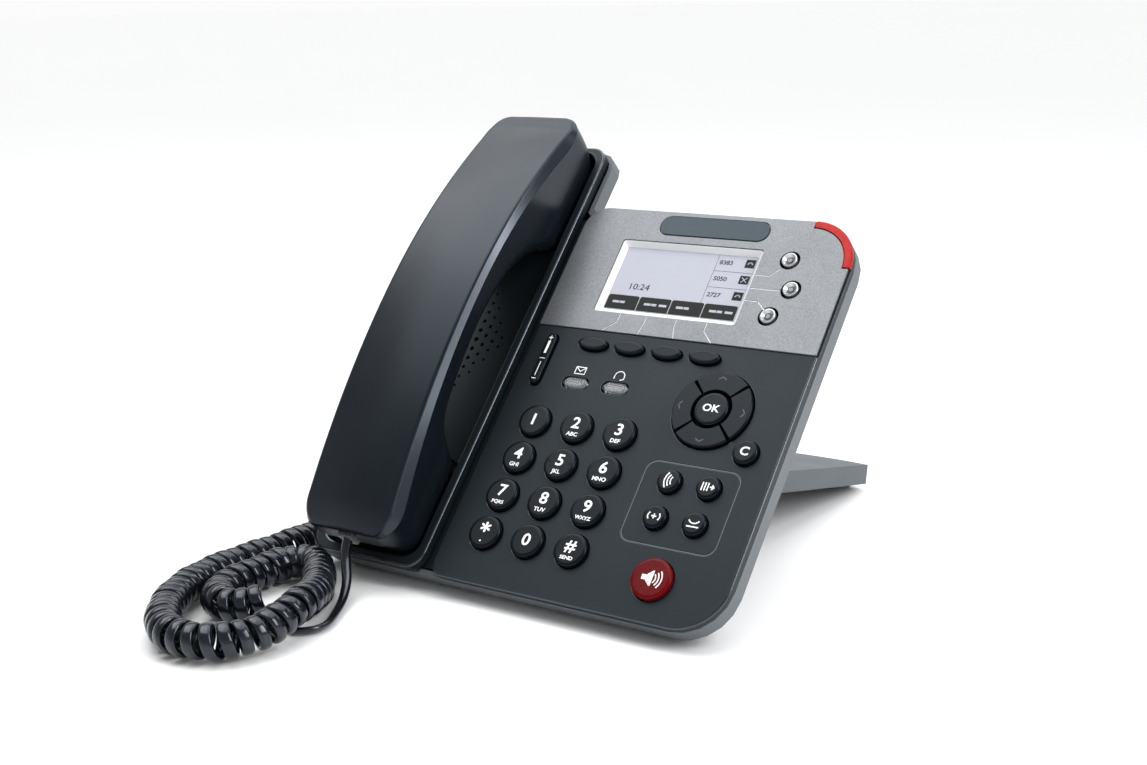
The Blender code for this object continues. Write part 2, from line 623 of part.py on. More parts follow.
def handset_parting(v):
    low, high = HANDSET_PARTING_LEVEL
    v = min(max(v, low), high)
    away = ((v - HANDSET_MID) / 90.0) ** 2
    return handset_arc(v) - HANDSET_PARTING - HANDSET_PARTING_DROP * away


def outer_section(v, inset=0.0, below=0.0):
    half = handset_half(v, inset)
    low = handset_parting(v) - below
    rise = max(handset_arc(v) - handset_parting(v), 2.0) - inset
    top = handset_parting(v) + rise * (0.25 + 0.75 * end_round(v, inset))
    side = low + (top - low) * 0.72
    lean = HANDSET_LEAN
    points = [(half, low), (half - lean * 0.5, side), (half - lean - 1.4, top), (0.0, top + 1.0)]
    points += [(-half + lean + 1.4, top), (-half + lean * 0.5, side), (-half, low)]
    return [(HANDSET_U + u, v, n) for u, n in points]


def handset_stations(inset=0.0):
    low = HANDSET_LOW + inset
    high = HANDSET_HIGH - inset
    ends = (0.0, 1.5, 4.5)
    middle = (4.0, 18.0, 31.0, 47.0, 60.0, 80.0, 95.0, 112.0, 125.0, 136.0, 150.0, 167.0, 184.0)
    return [low + step for step in ends] + list(middle) + [high - step for step in reversed(ends)]


# Depth of the inner shell along the handset: (v, n of the lowest line).
INNER_PROFILE = (
    (-8.7, 9.0), (-6.5, 2.0), (-2.0, -5.6), (4.0, -7.7), (18.0, -7.7), (31.0, -7.7), (36.5, -4.0),
    (41.0, 6.0), (47.0, 13.5), (60.0, 17.6), (80.0, 20.2), (95.0, 20.6), (112.0, 18.6), (125.0, 14.6),
    (136.0, 8.0), (144.0, -2.0), (150.0, -7.7), (167.0, -7.7), (184.0, -7.7), (191.0, -5.0),
    (195.6, 2.5), (199.5, 10.0),
)


def inner_section(v, depth, inset=0.0, above=0.0):
    half = handset_half(v, inset)
    top = handset_parting(v) - GAP + above
    low = depth + inset
    knee = low + (top - low) * 0.3
    foot = max(half - 6.0, 4.0)
    points = [(foot, low), (half - 1.2, knee), (half, top), (-half, top), (-half + 1.2, knee), (-foot, low)]
    return [(HANDSET_U + u, v, n) for u, n in points]


def make_handset(face):
    top_mesh = mesh_from_rings("handset_outer_shell", [outer_section(v) for v in handset_stations()])
    outer = add_object("handset_outer_shell", top_mesh, "handset", face)
    room = [outer_section(v, SHELL, 1.0) for v in handset_stations(SHELL)]
    boolean(outer, "DIFFERENCE", mesh_from_rings("room", room))
    smooth(outer)
    low_mesh = mesh_from_rings("handset_inner_shell", [inner_section(v, depth) for v, depth in INNER_PROFILE])
    inner = add_object("handset_inner_shell", low_mesh, "handset", face)
    room = []
    for v, depth in INNER_PROFILE[2:-2]:
        room.append(inner_section(min(max(v, -6.5), HANDSET_HIGH - 2.5), depth, SHELL, 1.0))
    boolean(inner, "DIFFERENCE", mesh_from_rings("room", room))
    smooth(inner)
    plug_u, plug_v, plug_n = HANDSET_PLUG_AT
    half_u = PLUG_SIZE[0] / 2 + GAP
    half_n = PLUG_SIZE[1] / 2 + GAP
    jack = rounded_box((plug_u - half_u, plug_v - 6.0, plug_u + half_u, plug_v + 12.6), [0.4] * 4, 1)
    boolean(inner, "DIFFERENCE", prism("jack", jack, plug_n - half_n, plug_n + half_n))
    earpiece = turned("earpiece", (HANDSET_U, 167.0), ((13.0, -5.2), (13.0, 0.0), (9.0, 4.0)))
    add_object("earpiece", earpiece, "metal", face)
    microphone = turned("handset_microphone", (HANDSET_U, 18.0), ((4.8, -5.2), (4.8, 0.5)), 14)
    add_object("handset_microphone", microphone, "metal", face)
    weight = prism("handset_weight", rounded_box((-85.0, 72.0, -65.0, 120.0), [1.5] * 4, 1), 23.6, 27.6)
    add_object("handset_weight", weight, "metal", face)


# ---- cord --------------------------------------------------------------------------
def catmull_rom(points, spacing):
    """A smooth curve through the route's points, read about every spacing millimetres."""
    route = [Vector(point) for point in points]
    route = [route[0] * 2 - route[1]] + route + [route[-1] * 2 - route[-2]]
    dense = []
    for a, b, c, d in zip(route, route[1:], route[2:], route[3:]):
        for i in range(24):
            t = i / 24.0
            value = 0.5 * ((2 * b) + (c - a) * t + (2 * a - 5 * b + 4 * c - d) * t * t
                           + (3 * b - a - 3 * c + d) * t * t * t)
            dense.append(value)
    dense.append(route[-2])
    lengths = [0.0]
    for a, b in zip(dense, dense[1:]):
        lengths.append(lengths[-1] + (b - a).length)
    count = max(3, round(lengths[-1] / spacing))
    picked = []
    j = 0
    for i in range(count + 1):
        target = lengths[-1] * i / count
        while j < len(lengths) - 2 and lengths[j + 1] < target:
            j += 1
        share = (target - lengths[j]) / max(lengths[j + 1] - lengths[j], 1e-9)
        picked.append(dense[j].lerp(dense[j + 1], min(share, 1.0)))
    return picked


def make_tube(name, points, radius, spacing):
    """A round tube with filled ends along a route in the world frame."""
    curve = bpy.data.curves.new(name, "CURVE")
    curve.dimensions = "3D"
    curve.bevel_depth = radius * 0.001
    curve.bevel_resolution = 2
    curve.use_fill_caps = True
    curve.resolution_u = 1
    curve.render_resolution_u = 0
    spline = curve.splines.new("POLY")
    path = catmull_rom(points, spacing)
    spline.points.add(len(path) - 1)
    for place, point in zip(spline.points, path):
        place.co = (*mm(*point), 1.0)
    made = bpy.data.objects.new(name, curve)
    bpy.context.collection.objects.link(made)
    curve.materials.append(material("cord"))
    return made


def make_plug(name, centre, along, face):
    """A modular plug; along is the axis of the cord, 0 for u and 1 for v."""
    u, v, n = centre
    wide, high, length = PLUG_SIZE
    if along == 1:
        box = (u - wide / 2, v, u + wide / 2, v + length)
    else:
        box = (u, v - wide / 2, u + length, v + wide / 2)
    add_object(name, prism(name, rounded_box(box, [0.6] * 4, 1), n - high / 2, n + high / 2), "clear", face)


def make_cord(face):
    make_plug("handset_plug", HANDSET_PLUG_AT, 1, face)
    make_plug("base_plug", BASE_PLUG_AT, 0, face)
    make_tube("cord_lead", LEAD_ROUTE, LEAD_RADIUS, 5.0)
    make_tube("cord_coil", COIL_ROUTE, COIL_RADIUS, 9.0)
    make_tube("cord_tail", TAIL_ROUTE, LEAD_RADIUS, 5.0)


def main():
    clear_scene()
    face = add_empty("face_frame", None, FACE_ORIGIN, FACE_TILT)
    holes = make_keys(face)
    holes.append(make_volume_rocker(face))
    holes.append(make_lens("mail_lens", MAIL_LENS, face))
    holes.append(make_lens("headset_lens", HEADSET_LENS, face))
    make_rear_housing(face)
    make_front_cover(face, holes)
    make_faceplate(face)
    make_screen(face)
    make_cradle(face)
    make_inside(face)
    make_stand(face)
    make_feet(face)
    make_handset(face)
    make_cord(face)


if __name__ == "__main__":
    main()
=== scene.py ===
"""The finished look of a desk IP phone, built around its CAD frame.

Sizes are millimetres on the face of the phone: u runs right across the key panel, v runs up
it and n stands out of it. FACE carries them to the world, in metres. The cord's routes are
millimetres in the world.
"""

import math

import bmesh
import bpy
from mathutils import Matrix, Vector


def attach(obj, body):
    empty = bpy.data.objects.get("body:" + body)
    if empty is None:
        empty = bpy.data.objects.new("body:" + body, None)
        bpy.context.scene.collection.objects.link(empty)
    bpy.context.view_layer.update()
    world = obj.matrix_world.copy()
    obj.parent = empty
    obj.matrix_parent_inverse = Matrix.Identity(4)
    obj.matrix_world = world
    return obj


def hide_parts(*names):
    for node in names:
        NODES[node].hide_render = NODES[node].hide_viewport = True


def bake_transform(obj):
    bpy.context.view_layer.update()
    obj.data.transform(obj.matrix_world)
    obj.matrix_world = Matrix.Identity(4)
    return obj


bl_info = {
    "name": "Desk IP phone",
    "version": (1, 0, 0),
    "blender": (4, 5, 0),
    "location": "3D View > Sidebar > Desk phone",
    "description": "Builds the finished look of a desk phone with a corded handset",
    "category": "Object",
}

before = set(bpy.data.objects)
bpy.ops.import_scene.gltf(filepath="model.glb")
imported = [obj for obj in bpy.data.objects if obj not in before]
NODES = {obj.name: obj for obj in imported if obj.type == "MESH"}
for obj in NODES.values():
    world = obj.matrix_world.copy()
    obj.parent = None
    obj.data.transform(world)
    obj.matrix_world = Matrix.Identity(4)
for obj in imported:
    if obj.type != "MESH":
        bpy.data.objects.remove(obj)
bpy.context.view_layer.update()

# ---- sizes shared with the CAD, millimetres ------------------------------------
MM = 0.001
MERGE = 1e-6                                # metres between points that are one
FACE_TILT = 46.7
FACE_ORIGIN = (7.75, -97.25, 17.6)
FACE = Matrix.Translation(Vector(FACE_ORIGIN) * MM) @ Matrix.Rotation(math.radians(FACE_TILT), 4, "X")

PANEL = (-41.3, -12.0, 88.5, 168.0)
PANEL_RADII = (6.0, 20.0, 21.0, 10.0)       # low left, low right, high right, high left
CORNER = PANEL_RADII[2]
LAMP_WIDE = 3.4
CRADLE = (-104.0, -12.0, -45.8, 199.5)
COVER_LOW = -3.2
PLATE_LOW = 106.3
SCREEN_OPENING = (-18.0, 115.7, 49.0, 152.2)
GLASS = (-16.0, 118.8, 46.5, 150.2)
BADGE = (-3.0, 156.0, 48.2, 165.4)
KEYPAD_FIRST = (-22.0, 60.6)
KEYPAD_PITCH = (20.4, 17.13)
KEYPAD_RADIUS = 7.08
SOFT_FIRST = (-10.7, 99.4)
SOFT_PITCH = 17.55
LINE_KEYS = ((62.0, 148.1), (67.2, 134.5), (61.9, 121.3))
NAV_CENTRE = (54.0, 77.0)
CLEAR_KEY = (74.5, 61.2)
CLEAR_RADIUS = 5.1
FUNCTION_FIRST = (48.2, 44.4)
FUNCTION_PITCH = (17.05, 15.46)
FUNCTION_RADIUS = 4.9
SPEAKER_KEY = (56.8, 4.7)
SPEAKER_RADIUS = 8.3
KEY_TOP = 2.2
KEY_DISH = 0.06
VOLUME_CENTRE = (-31.2, 89.6)
LENSES = {"mail_lens": (-11.7, 80.8), "headset_lens": (7.4, 80.9)}
GRILLE_CENTRE = (-75.0, 98.4)
SOFT_SIZE = (7.0, 3.1)                      # half width and half height
NAV_RADIUS = 16.9
KEY_GAP = 0.4                               # around every key
KEY_FOOT = -3.6                             # where a cap ends under the panel
GLASS_LEVEL = -2.3
SCREW_LEVEL = -30.6
HANDSET_U = -75.0
HANDSET_MIDDLE = 104.0                      # where its back is highest
HANDSET_END = 11.0                          # length of each rounded end
HANDSET_LOW = -9.0
HANDSET_HIGH = 200.5

COOL = (0.78, 0.90, 1.0)
DEEP = (0.76, 0.87, 1.0)
LEGENDS = {
    "1": ("1", ""), "2": ("2", "ABC"), "3": ("3", "DEF"), "4": ("4", "GHI"), "5": ("5", "JKL"),
    "6": ("6", "MNO"), "7": ("7", "PQRS"), "8": ("8", "TUV"), "9": ("9", "WXYZ"),
    "star": ("*", "."), "0": ("0", ""), "hash": ("#", "SEND"),
}

# ---- cord routes, millimetres in the world, as in the CAD ------------------------
LEAD_ROUTE = (
    (-67.25, -114.1, 19.0), (-66.5, -116.25, 15.5), (-63.5, -119.65, 11.0), (-58.6, -125.15, 6.5),
    (-53.5, -133.15, 3.2), (-48.5, -142.65, 1.8), (-44.0, -152.65, 1.6), (-44.3, -159.65, 1.6),
    (-49.0, -163.85, 1.6), (-54.0, -163.05, 1.7), (-58.6, -160.25, 2.2), (-62.4, -158.25, 3.0),
    (-65.1, -160.85, 3.5),
)
COIL_ROUTE = (
    (-66.5, -162.15, 9.0), (-71.5, -166.25, 7.8), (-79.0, -169.45, 7.4), (-88.3, -165.25, 7.4),
    (-93.6, -157.15, 7.4), (-94.9, -146.65, 7.4), (-94.4, -134.65, 7.4), (-93.5, -124.15, 7.4),
    (-86.5, -117.65, 7.4), (-77.5, -121.15, 7.4), (-68.0, -131.15, 7.4), (-58.5, -142.65, 8.4),
    (-52.0, -153.55, 10.4), (-48.8, -163.65, 10.9), (-47.5, -173.65, 9.6), (-48.6, -184.65, 7.9),
    (-54.5, -195.45, 7.4), (-66.0, -201.05, 7.4), (-79.5, -199.15, 7.4), (-92.0, -189.65, 7.4),
    (-102.0, -176.65, 7.4), (-109.0, -159.65, 7.4), (-111.0, -140.65, 7.4), (-109.0, -121.65, 7.4),
    (-107.0, -101.65, 7.4), (-106.2, -80.65, 7.4),
)
TAIL_ROUTE = (
    (-108.0, -73.65, 9.2), (-112.6, -67.25, 12.0), (-117.6, -61.85, 17.4), (-119.8, -56.85, 24.4),
    (-117.4, -53.65, 31.2), (-111.4, -52.55, 35.8), (-105.2, -52.55, 37.2), (-99.4, -52.55, 37.3),
)
LEAD_WIDE = 4.4
TURN_STEPS = 22                             # points in one turn of the coil
TAIL_EASE = 18                              # points over which the tail turns level


FINISHES = {}                               # every finish by name, once the stage is made


# ---- choosing and finishing pieces -----------------------------------------------
def deselect():
    if bpy.context.mode != "OBJECT":
        bpy.ops.object.mode_set(mode="OBJECT")
    bpy.ops.object.select_all(action="DESELECT")


def pick(item, *others):
    """Makes item the active object, with others selected too."""
    deselect()
    for other in others:
        other.select_set(True)
    item.select_set(True)
    bpy.context.view_layer.objects.active = item
    return item


def set_down(item):
    """Moves the picked piece's place, turn and size into its mesh."""
    bpy.ops.object.transform_apply(location=True, rotation=True, scale=True)
    return item


def fresh(name):
    """The primitive just added, named, with its place in its mesh."""
    item = bpy.context.object
    item.name = name
    item.data.name = name
    return set_down(item)


def add(name, data):
    """A new object in the scene that shows data."""
    item = bpy.data.objects.new(name, data)
    bpy.context.collection.objects.link(item)
    return item


def edit(item, kind="EDGE"):
    pick(item)
    bpy.ops.object.mode_set(mode="EDIT")
    bpy.ops.mesh.select_mode(type=kind)
    bpy.ops.mesh.select_all(action="DESELECT")


def choose_edges(item, test):
    build = bmesh.from_edit_mesh(item.data)
    for edge in build.edges:
        if test(edge.verts[0].co / MM, edge.verts[1].co / MM):
            edge.select_set(True)
    bmesh.update_edit_mesh(item.data)


def choose_faces(item, test):
    build = bmesh.from_edit_mesh(item.data)
    build.normal_update()
    for face in build.faces:
        if test(face.calc_center_median() / MM, face.normal):
            face.select_set(True)
    bmesh.update_edit_mesh(item.data)


def leave():
    bpy.ops.object.mode_set(mode="OBJECT")


def modify(item, kind, **values):
    """Adds a modifier with these values and applies it."""
    pick(item)
    step = item.modifiers.new("step", kind)
    for name, value in values.items():
        setattr(step, name, value)
    bpy.ops.object.modifier_apply(modifier=step.name)
    return item


def smooth(item, degrees=35.0):
    """Smooth shading that leaves large flat faces looking flat."""
    pick(item)
    bpy.ops.object.shade_smooth_by_angle(angle=math.radians(degrees))
    return modify(item, "WEIGHTED_NORMAL", keep_sharp=True)


def face_out(item):
    edit(item, "VERT")
    bpy.ops.mesh.select_all(action="SELECT")
    bpy.ops.mesh.remove_doubles(threshold=MERGE)
    bpy.ops.mesh.normals_make_consistent(inside=False)
    leave()
    return item


def paint(item, finish):
    """Gives a piece one finish, by its name."""
    item.data.materials.clear()
    item.data.materials.append(FINISHES[finish])
    return item


def polish(item, low, high, finish="edge", aside=0.0):
    """Gives the rolled edges between two levels a glossier finish."""
    item.data.materials.append(FINISHES[finish])
    edit(item, "FACE")

    def rolled(middle, normal):
        return 0.12 < normal.z < 0.98 and low < middle.z < high and abs(normal.x) >= aside

    choose_faces(item, rolled)
    item.active_material_index = len(item.data.materials) - 1
    bpy.ops.object.material_slot_assign()
    leave()
    return item


def join(item, others):
    """Joins others into item, each keeping its own material."""
    if others:
        pick(item, *others)
        bpy.ops.object.join()
    return item


def shift(item, u, v, n=0.0):
    pick(item)
    bpy.ops.transform.translate(value=(u * MM, v * MM, n * MM))
    return set_down(item)


def settle(item):
    """Carries a piece made on the face to its place in the world."""
    pick(item)
    item.matrix_world = FACE @ item.matrix_world
    return set_down(item)


def hand_over(item, body, slot, *nodes):
    """Puts a finished piece on the body it rides on and hides the CAD nodes it stands for; slot is not used.
    """
    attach(item, body)
    if nodes:
        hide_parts(*nodes)
    return item


# ---- shapes ------------------------------------------------------------------------
def block(name, box, low, high):
    u0, v0, u1, v1 = box
    deselect()
    bpy.ops.mesh.primitive_cube_add(
        size=1.0,
        location=((u0 + u1) / 2 * MM, (v0 + v1) / 2 * MM, (low + high) / 2 * MM),
        scale=((u1 - u0) * MM, (v1 - v0) * MM, (high - low) * MM),
    )
    return fresh(name)


def round_corners(item, box, radii, segments=8):
    """Rounds the four upright edges of a block."""
    u0, v0, u1, v1 = box
    for (u, v), radius in zip(((u0, v0), (u1, v0), (u1, v1), (u0, v1)), radii):
        if radius <= 0.0:
            continue
        edit(item)

        def upright(a, b):
            return all(abs(p.x - u) < 0.01 and abs(p.y - v) < 0.01 for p in (a, b))

        choose_edges(item, upright)
        bpy.ops.mesh.bevel(offset=radius * MM, segments=segments, affect="EDGES")
        leave()
    return item


def soften(item, level, width, segments=3):
    """Rounds the rim of the flat end at n = level."""
    edit(item)
    choose_edges(item, lambda a, b: abs(a.z - level) < 0.01 and abs(b.z - level) < 0.01)
    bpy.ops.mesh.bevel(offset=width * MM, segments=segments, affect="EDGES")
    leave()
    return item


def rounded(name, box, low, high, radii, edge=0.0, segments=8):
    if not isinstance(radii, tuple):
        radii = (radii,) * 4
    item = round_corners(block(name, box, low, high), box, radii, segments)
    if edge > 0.0:
        soften(item, high, edge)
    return item


def drum(name, centre, radius, low, high, sides=48, edge=0.0, edge_steps=3):
    """A round or oval block; radius is one number, or one for u and one for v."""
    across, along = radius if isinstance(radius, tuple) else (radius, radius)
    deselect()
    bpy.ops.mesh.primitive_cylinder_add(
        vertices=sides,
        radius=MM,
        depth=(high - low) * MM,
        location=(centre[0] * MM, centre[1] * MM, (low + high) / 2 * MM),
        scale=(across, along, 1.0),
    )
    item = fresh(name)
    if edge > 0.0:
        soften(item, high, edge, edge_steps)
    return item


def inset_box(box, amount):
    return (box[0] + amount, box[1] + amount, box[2] - amount, box[3] - amount)


def pill(name, centre, half_u, half_v, low, high, edge=0.0):
    box = (centre[0] - half_u, centre[1] - half_v, centre[0] + half_u, centre[1] + half_v)
    return rounded(name, box, low, high, min(half_u, half_v) * 0.98, edge)


def cut(item, cutters, crossing=False):
    """Cuts away every cutter, then removes them. Cutters that cross one another need crossing."""
    tool = join(cutters[0], cutters[1:])
    modify(item, "BOOLEAN", operation="DIFFERENCE", solver="EXACT", use_self=crossing, object=tool)
    bpy.data.objects.remove(tool, do_unlink=True)
    return item


def ease_edges(item, width, segments=2, degrees=35.0):
    """A small round on every sharp edge."""
    limit = math.radians(degrees)
    return modify(item, "BEVEL", width=width * MM, segments=segments, limit_method="ANGLE", angle_limit=limit)


def refined(node, name, width, segments=2):
    """A merged copy of a CAD node with its edges rounded."""
    item = add(name, NODES[node].data.copy())
    edit(item, "VERT")
    bpy.ops.mesh.select_all(action="SELECT")
    bpy.ops.mesh.remove_doubles(threshold=MERGE)
    bpy.ops.mesh.dissolve_limited(angle_limit=math.radians(0.8))
    leave()
    if width > 0.0:
        ease_edges(item, width, segments)
    return smooth(item)


def stroke(points, width, level, rise=0.05):
    """A flat line of bars through points, a hair above the surface."""
    bars = []
    for (u0, v0), (u1, v1) in zip(points, points[1:]):
        long = math.hypot(u1 - u0, v1 - v0)
        deselect()
        bpy.ops.mesh.primitive_cube_add(
            size=1.0,
            location=((u0 + u1) / 2 * MM, (v0 + v1) / 2 * MM, (level + rise / 2) * MM),
            rotation=(0.0, 0.0, math.atan2(v1 - v0, u1 - u0)),
            scale=((long + width * 0.6) * MM, width * MM, rise * MM),
        )
        bars.append(fresh("stroke"))
    return join(bars[0], bars[1:])


def arc(centre, radius, start, end, steps=8):
    points = []
    for i in range(steps + 1):
        angle = math.radians(start + (end - start) * i / steps)
        points.append((centre[0] + radius * math.cos(angle), centre[1] + radius * math.sin(angle)))
    return points


def lettering(body, centre, size, level, weight=0.06):
    """Raised lettering lying on the surface at n = level."""
    deselect()
    bpy.ops.object.text_add(location=(centre[0] * MM, centre[1] * MM, (level + 0.02) * MM))
    words = bpy.context.object
    words.data.body = body
    words.data.size = size * MM
    words.data.align_x = "CENTER"
    words.data.align_y = "CENTER"
    words.data.offset = weight * MM
    words.data.extrude = 0.025 * MM
    words.data.resolution_u = 3
    words.scale = (1.12, 1.0, 1.0)
    bpy.ops.object.convert(target="MESH")
    return fresh("lettering")


# ---- finishes ----------------------------------------------------------------------
def start_finish(name):
    made = bpy.data.materials.new(name)
    made.use_nodes = True
    nodes = made.node_tree.nodes
    place = nodes.new("ShaderNodeTexCoord")
    return made, made.node_tree, nodes["Principled BSDF"], place.outputs["Object"]


def grain_node(tree, place, scale, detail=3.0):
    noise = tree.nodes.new("ShaderNodeTexNoise")
    noise.inputs["Scale"].default_value = scale
    noise.inputs["Detail"].default_value = detail
    tree.links.new(place, noise.inputs["Vector"])
    return noise.outputs["Fac"]


def spread_node(tree, source, low, high):
    ramp = tree.nodes.new("ShaderNodeMapRange")
    ramp.inputs["From Min"].default_value = 0.3
    ramp.inputs["From Max"].default_value = 0.7
    ramp.inputs["To Min"].default_value = low
    ramp.inputs["To Max"].default_value = high
    tree.links.new(source, ramp.inputs["Value"])
    return ramp.outputs["Result"]


def bump_node(tree, shader, height, strength, depth):
    bump = tree.nodes.new("ShaderNodeBump")
    bump.inputs["Strength"].default_value = strength
    bump.inputs["Distance"].default_value = depth * MM
    tree.links.new(height, bump.inputs["Height"])
    tree.links.new(bump.outputs["Normal"], shader.inputs["Normal"])


def plastic(name, colour, roughness, grain=1400.0, depth=0.02, uneven=0.12, coat=0.0, metallic=0.0,
            shine=0.5, tint=(0.86, 0.93, 1.0)):
    """Moulded plastic: a fine moulded grain, with slightly uneven colour and gloss."""
    made, tree, shader, place = start_finish(name)
    fine = grain_node(tree, place, grain)
    broad = grain_node(tree, place, 35.0, 4.0)
    blend = tree.nodes.new("ShaderNodeMix")
    blend.data_type = "RGBA"
    blend.inputs["A"].default_value = (*[part * (1.0 - uneven) for part in colour], 1.0)
    blend.inputs["B"].default_value = (*[min(part * (1.0 + uneven), 1.0) for part in colour], 1.0)
    both = tree.nodes.new("ShaderNodeMath")
    both.operation = "ADD"
    tree.links.new(spread_node(tree, fine, 0.0, 0.6), both.inputs[0])
    tree.links.new(spread_node(tree, broad, 0.0, 0.4), both.inputs[1])
    tree.links.new(both.outputs["Value"], blend.inputs["Factor"])
    tree.links.new(blend.outputs["Result"], shader.inputs["Base Color"])
    tree.links.new(spread_node(tree, broad, roughness * 0.92, roughness * 1.08), shader.inputs["Roughness"])
    bump_node(tree, shader, fine, 0.6, depth)
    shader.inputs["Metallic"].default_value = metallic
    shader.inputs["Specular IOR Level"].default_value = shine
    shader.inputs["Specular Tint"].default_value = (*tint, 1.0)
    shader.inputs["Coat Weight"].default_value = coat
    shader.inputs["Coat Roughness"].default_value = 0.12
    return made


def clear_plastic(name, colour, roughness, through=0.75):
    """Clear or tinted moulded plastic with faint flow marks."""
    made, tree, shader, place = start_finish(name)
    shader.inputs["Base Color"].default_value = (*colour, 1.0)
    shader.inputs["Transmission Weight"].default_value = through
    shader.inputs["IOR"].default_value = 1.49
    flow = grain_node(tree, place, 220.0)
    tree.links.new(spread_node(tree, flow, roughness * 0.7, roughness * 1.3), shader.inputs["Roughness"])
    bump_node(tree, shader, flow, 0.25, 0.02)
    return made


def make_finishes(looks):
    """Every finish on the phone, by name."""
    return {
        "housing": plastic(
            "housing_plastic", looks.housing_colour, 0.46, 1500.0, 0.03, shine=0.28, tint=COOL
        ),
        "wall": plastic("wall_plastic", looks.wall_colour, 0.5, 1300.0, 0.03),
        "silver": plastic("silver_paint", looks.silver_colour, 0.34, 1500.0, 0.035, 0.35, 0.1, 0.55),
        "bezel": plastic("bezel_plastic", (0.80, 0.81, 0.82), 0.3, 900.0, 0.008, 0.03),
        "badge": plastic("badge_enamel", looks.badge_colour, 0.4, 900.0, 0.006, 0.06, shine=0.3),
        "key": plastic("key_rubber", looks.key_colour, 0.22, 1600.0, 0.01, 0.1, shine=0.16, tint=COOL),
        "legend": plastic("legend_ink", (0.93, 0.935, 0.94), 0.5, 1200.0, 0.004, 0.03),
        "handset": plastic(
            "handset_plastic", looks.handset_colour, 0.27, 1500.0, 0.012, 0.1, shine=0.34, tint=DEEP
        ),
        "red": plastic("red_lens", looks.lamp_colour, 0.2, 600.0, 0.008, 0.3, shine=0.14),
        "dark_red": plastic("dark_red_lens", (0.105, 0.0015, 0.0025), 0.18, 600.0, 0.008, 0.3, shine=0.1),
        "clear": clear_plastic("clear_lens", (0.82, 0.85, 0.88), 0.1, 0.92),
        "screen": plastic("screen_glass", looks.screen_colour, 0.24, 500.0, 0.003, 0.02, 0.15),
        "screen_dark": plastic("screen_segment", (0.010, 0.012, 0.008), 0.3, 900.0, 0.003, 0.05, shine=0.1),
        "cord": plastic(
            "cord_jacket", looks.cord_colour, 0.19, 1800.0, 0.004, 0.1, 0.25, shine=0.4, tint=DEEP
        ),
        "rubber": plastic("foot_rubber", (0.025, 0.025, 0.026), 0.8, 1200.0, 0.04),
        "board": plastic("board_lacquer", (0.015, 0.09, 0.04), 0.4, 700.0, 0.02, 0.2, 0.2),
        "metal": plastic("plain_metal", (0.55, 0.55, 0.56), 0.35, 1400.0, 0.01, 0.08, 0.0, 0.9),
        "edge": plastic("housing_edge", looks.housing_colour, 0.2, 1500.0, 0.006, shine=0.75, tint=COOL),
        "handset_edge": plastic(
            "handset_edge", looks.handset_colour, 0.24, 1500.0, 0.008, 0.1, shine=0.5, tint=DEEP
        ),
        "mark": plastic("faint_mark", (0.05, 0.055, 0.06), 0.4, 1200.0, 0.004, 0.05),
        "stand": plastic("stand_plastic", looks.stand_colour, 0.45, 1300.0, 0.03),
    }


# ---- cord ---------------------------------------------------------------------------
def smooth_route(points, spacing):
    """A smooth curve through a route's points, read every spacing millimetres."""
    route = [Vector(point) for point in points]
    route = [route[0] * 2 - route[1]] + route + [route[-1] * 2 - route[-2]]
    dense = []
    for a, b, c, d in zip(route, route[1:], route[2:], route[3:]):
        for i in range(24):
            t = i / 24.0
            value = 0.5 * ((2 * b) + (c - a) * t + (2 * a - 5 * b + 4 * c - d) * t * t
                           + (3 * b - a - 3 * c + d) * t * t * t)
            dense.append(value)
    dense.append(route[-2])
    lengths = [0.0]
    for a, b in zip(dense, dense[1:]):
        lengths.append(lengths[-1] + (b - a).length)
    count = max(3, round(lengths[-1] / spacing))
    picked = []
    j = 0
    for i in range(count + 1):
        target = lengths[-1] * i / count
        while j < len(lengths) - 2 and lengths[j + 1] < target:
            j += 1
        share = (target - lengths[j]) / max(lengths[j + 1] - lengths[j], 1e-9)
        picked.append(dense[j].lerp(dense[j + 1], min(share, 1.0)))
    return picked


def tangents(path):
    ends = [path[0]] + list(path) + [path[-1]]
    return [(after - before).normalized() for before, after in zip(ends, ends[2:])]


def carried_frames(path, first):
    """A side direction carried along a path without twisting."""
    sides = []
    side = Vector(first)
    for along in tangents(path):
        side = (side - along * side.dot(along)).normalized()
        sides.append(side)
    return sides


def flat_cord(name, path, sides, wide, thick):
    """A flat cord with rounded edges: sides point along its width."""
    build = bmesh.new()
    rows = []
    corners = 12
    for point, along, side in zip(path, tangents(path), sides):
        up = along.cross(side).normalized()
        side = up.cross(along).normalized()
        row = []
        for k in range(corners):
            angle = 2.0 * math.pi * (k + 0.5) / corners
            across, rise = math.cos(angle), math.sin(angle)
            across = math.copysign(abs(across) ** 0.75, across) * wide / 2
            rise = math.copysign(abs(rise) ** 0.85, rise) * thick / 2
            row.append(build.verts.new((point + side * across + up * rise) * MM))
        rows.append(row)
    for low, high in zip(rows, rows[1:]):
        for k in range(corners):
            build.faces.new((low[k], low[(k + 1) % corners], high[(k + 1) % corners], high[k]))
    build.faces.new(list(reversed(rows[0])))
    build.faces.new(rows[-1])
    bmesh.ops.recalc_face_normals(build, faces=build.faces)
    mesh = bpy.data.meshes.new(name)
    build.to_mesh(mesh)
    build.free()
    return smooth(paint(add(name, mesh), "cord"), 60.0)


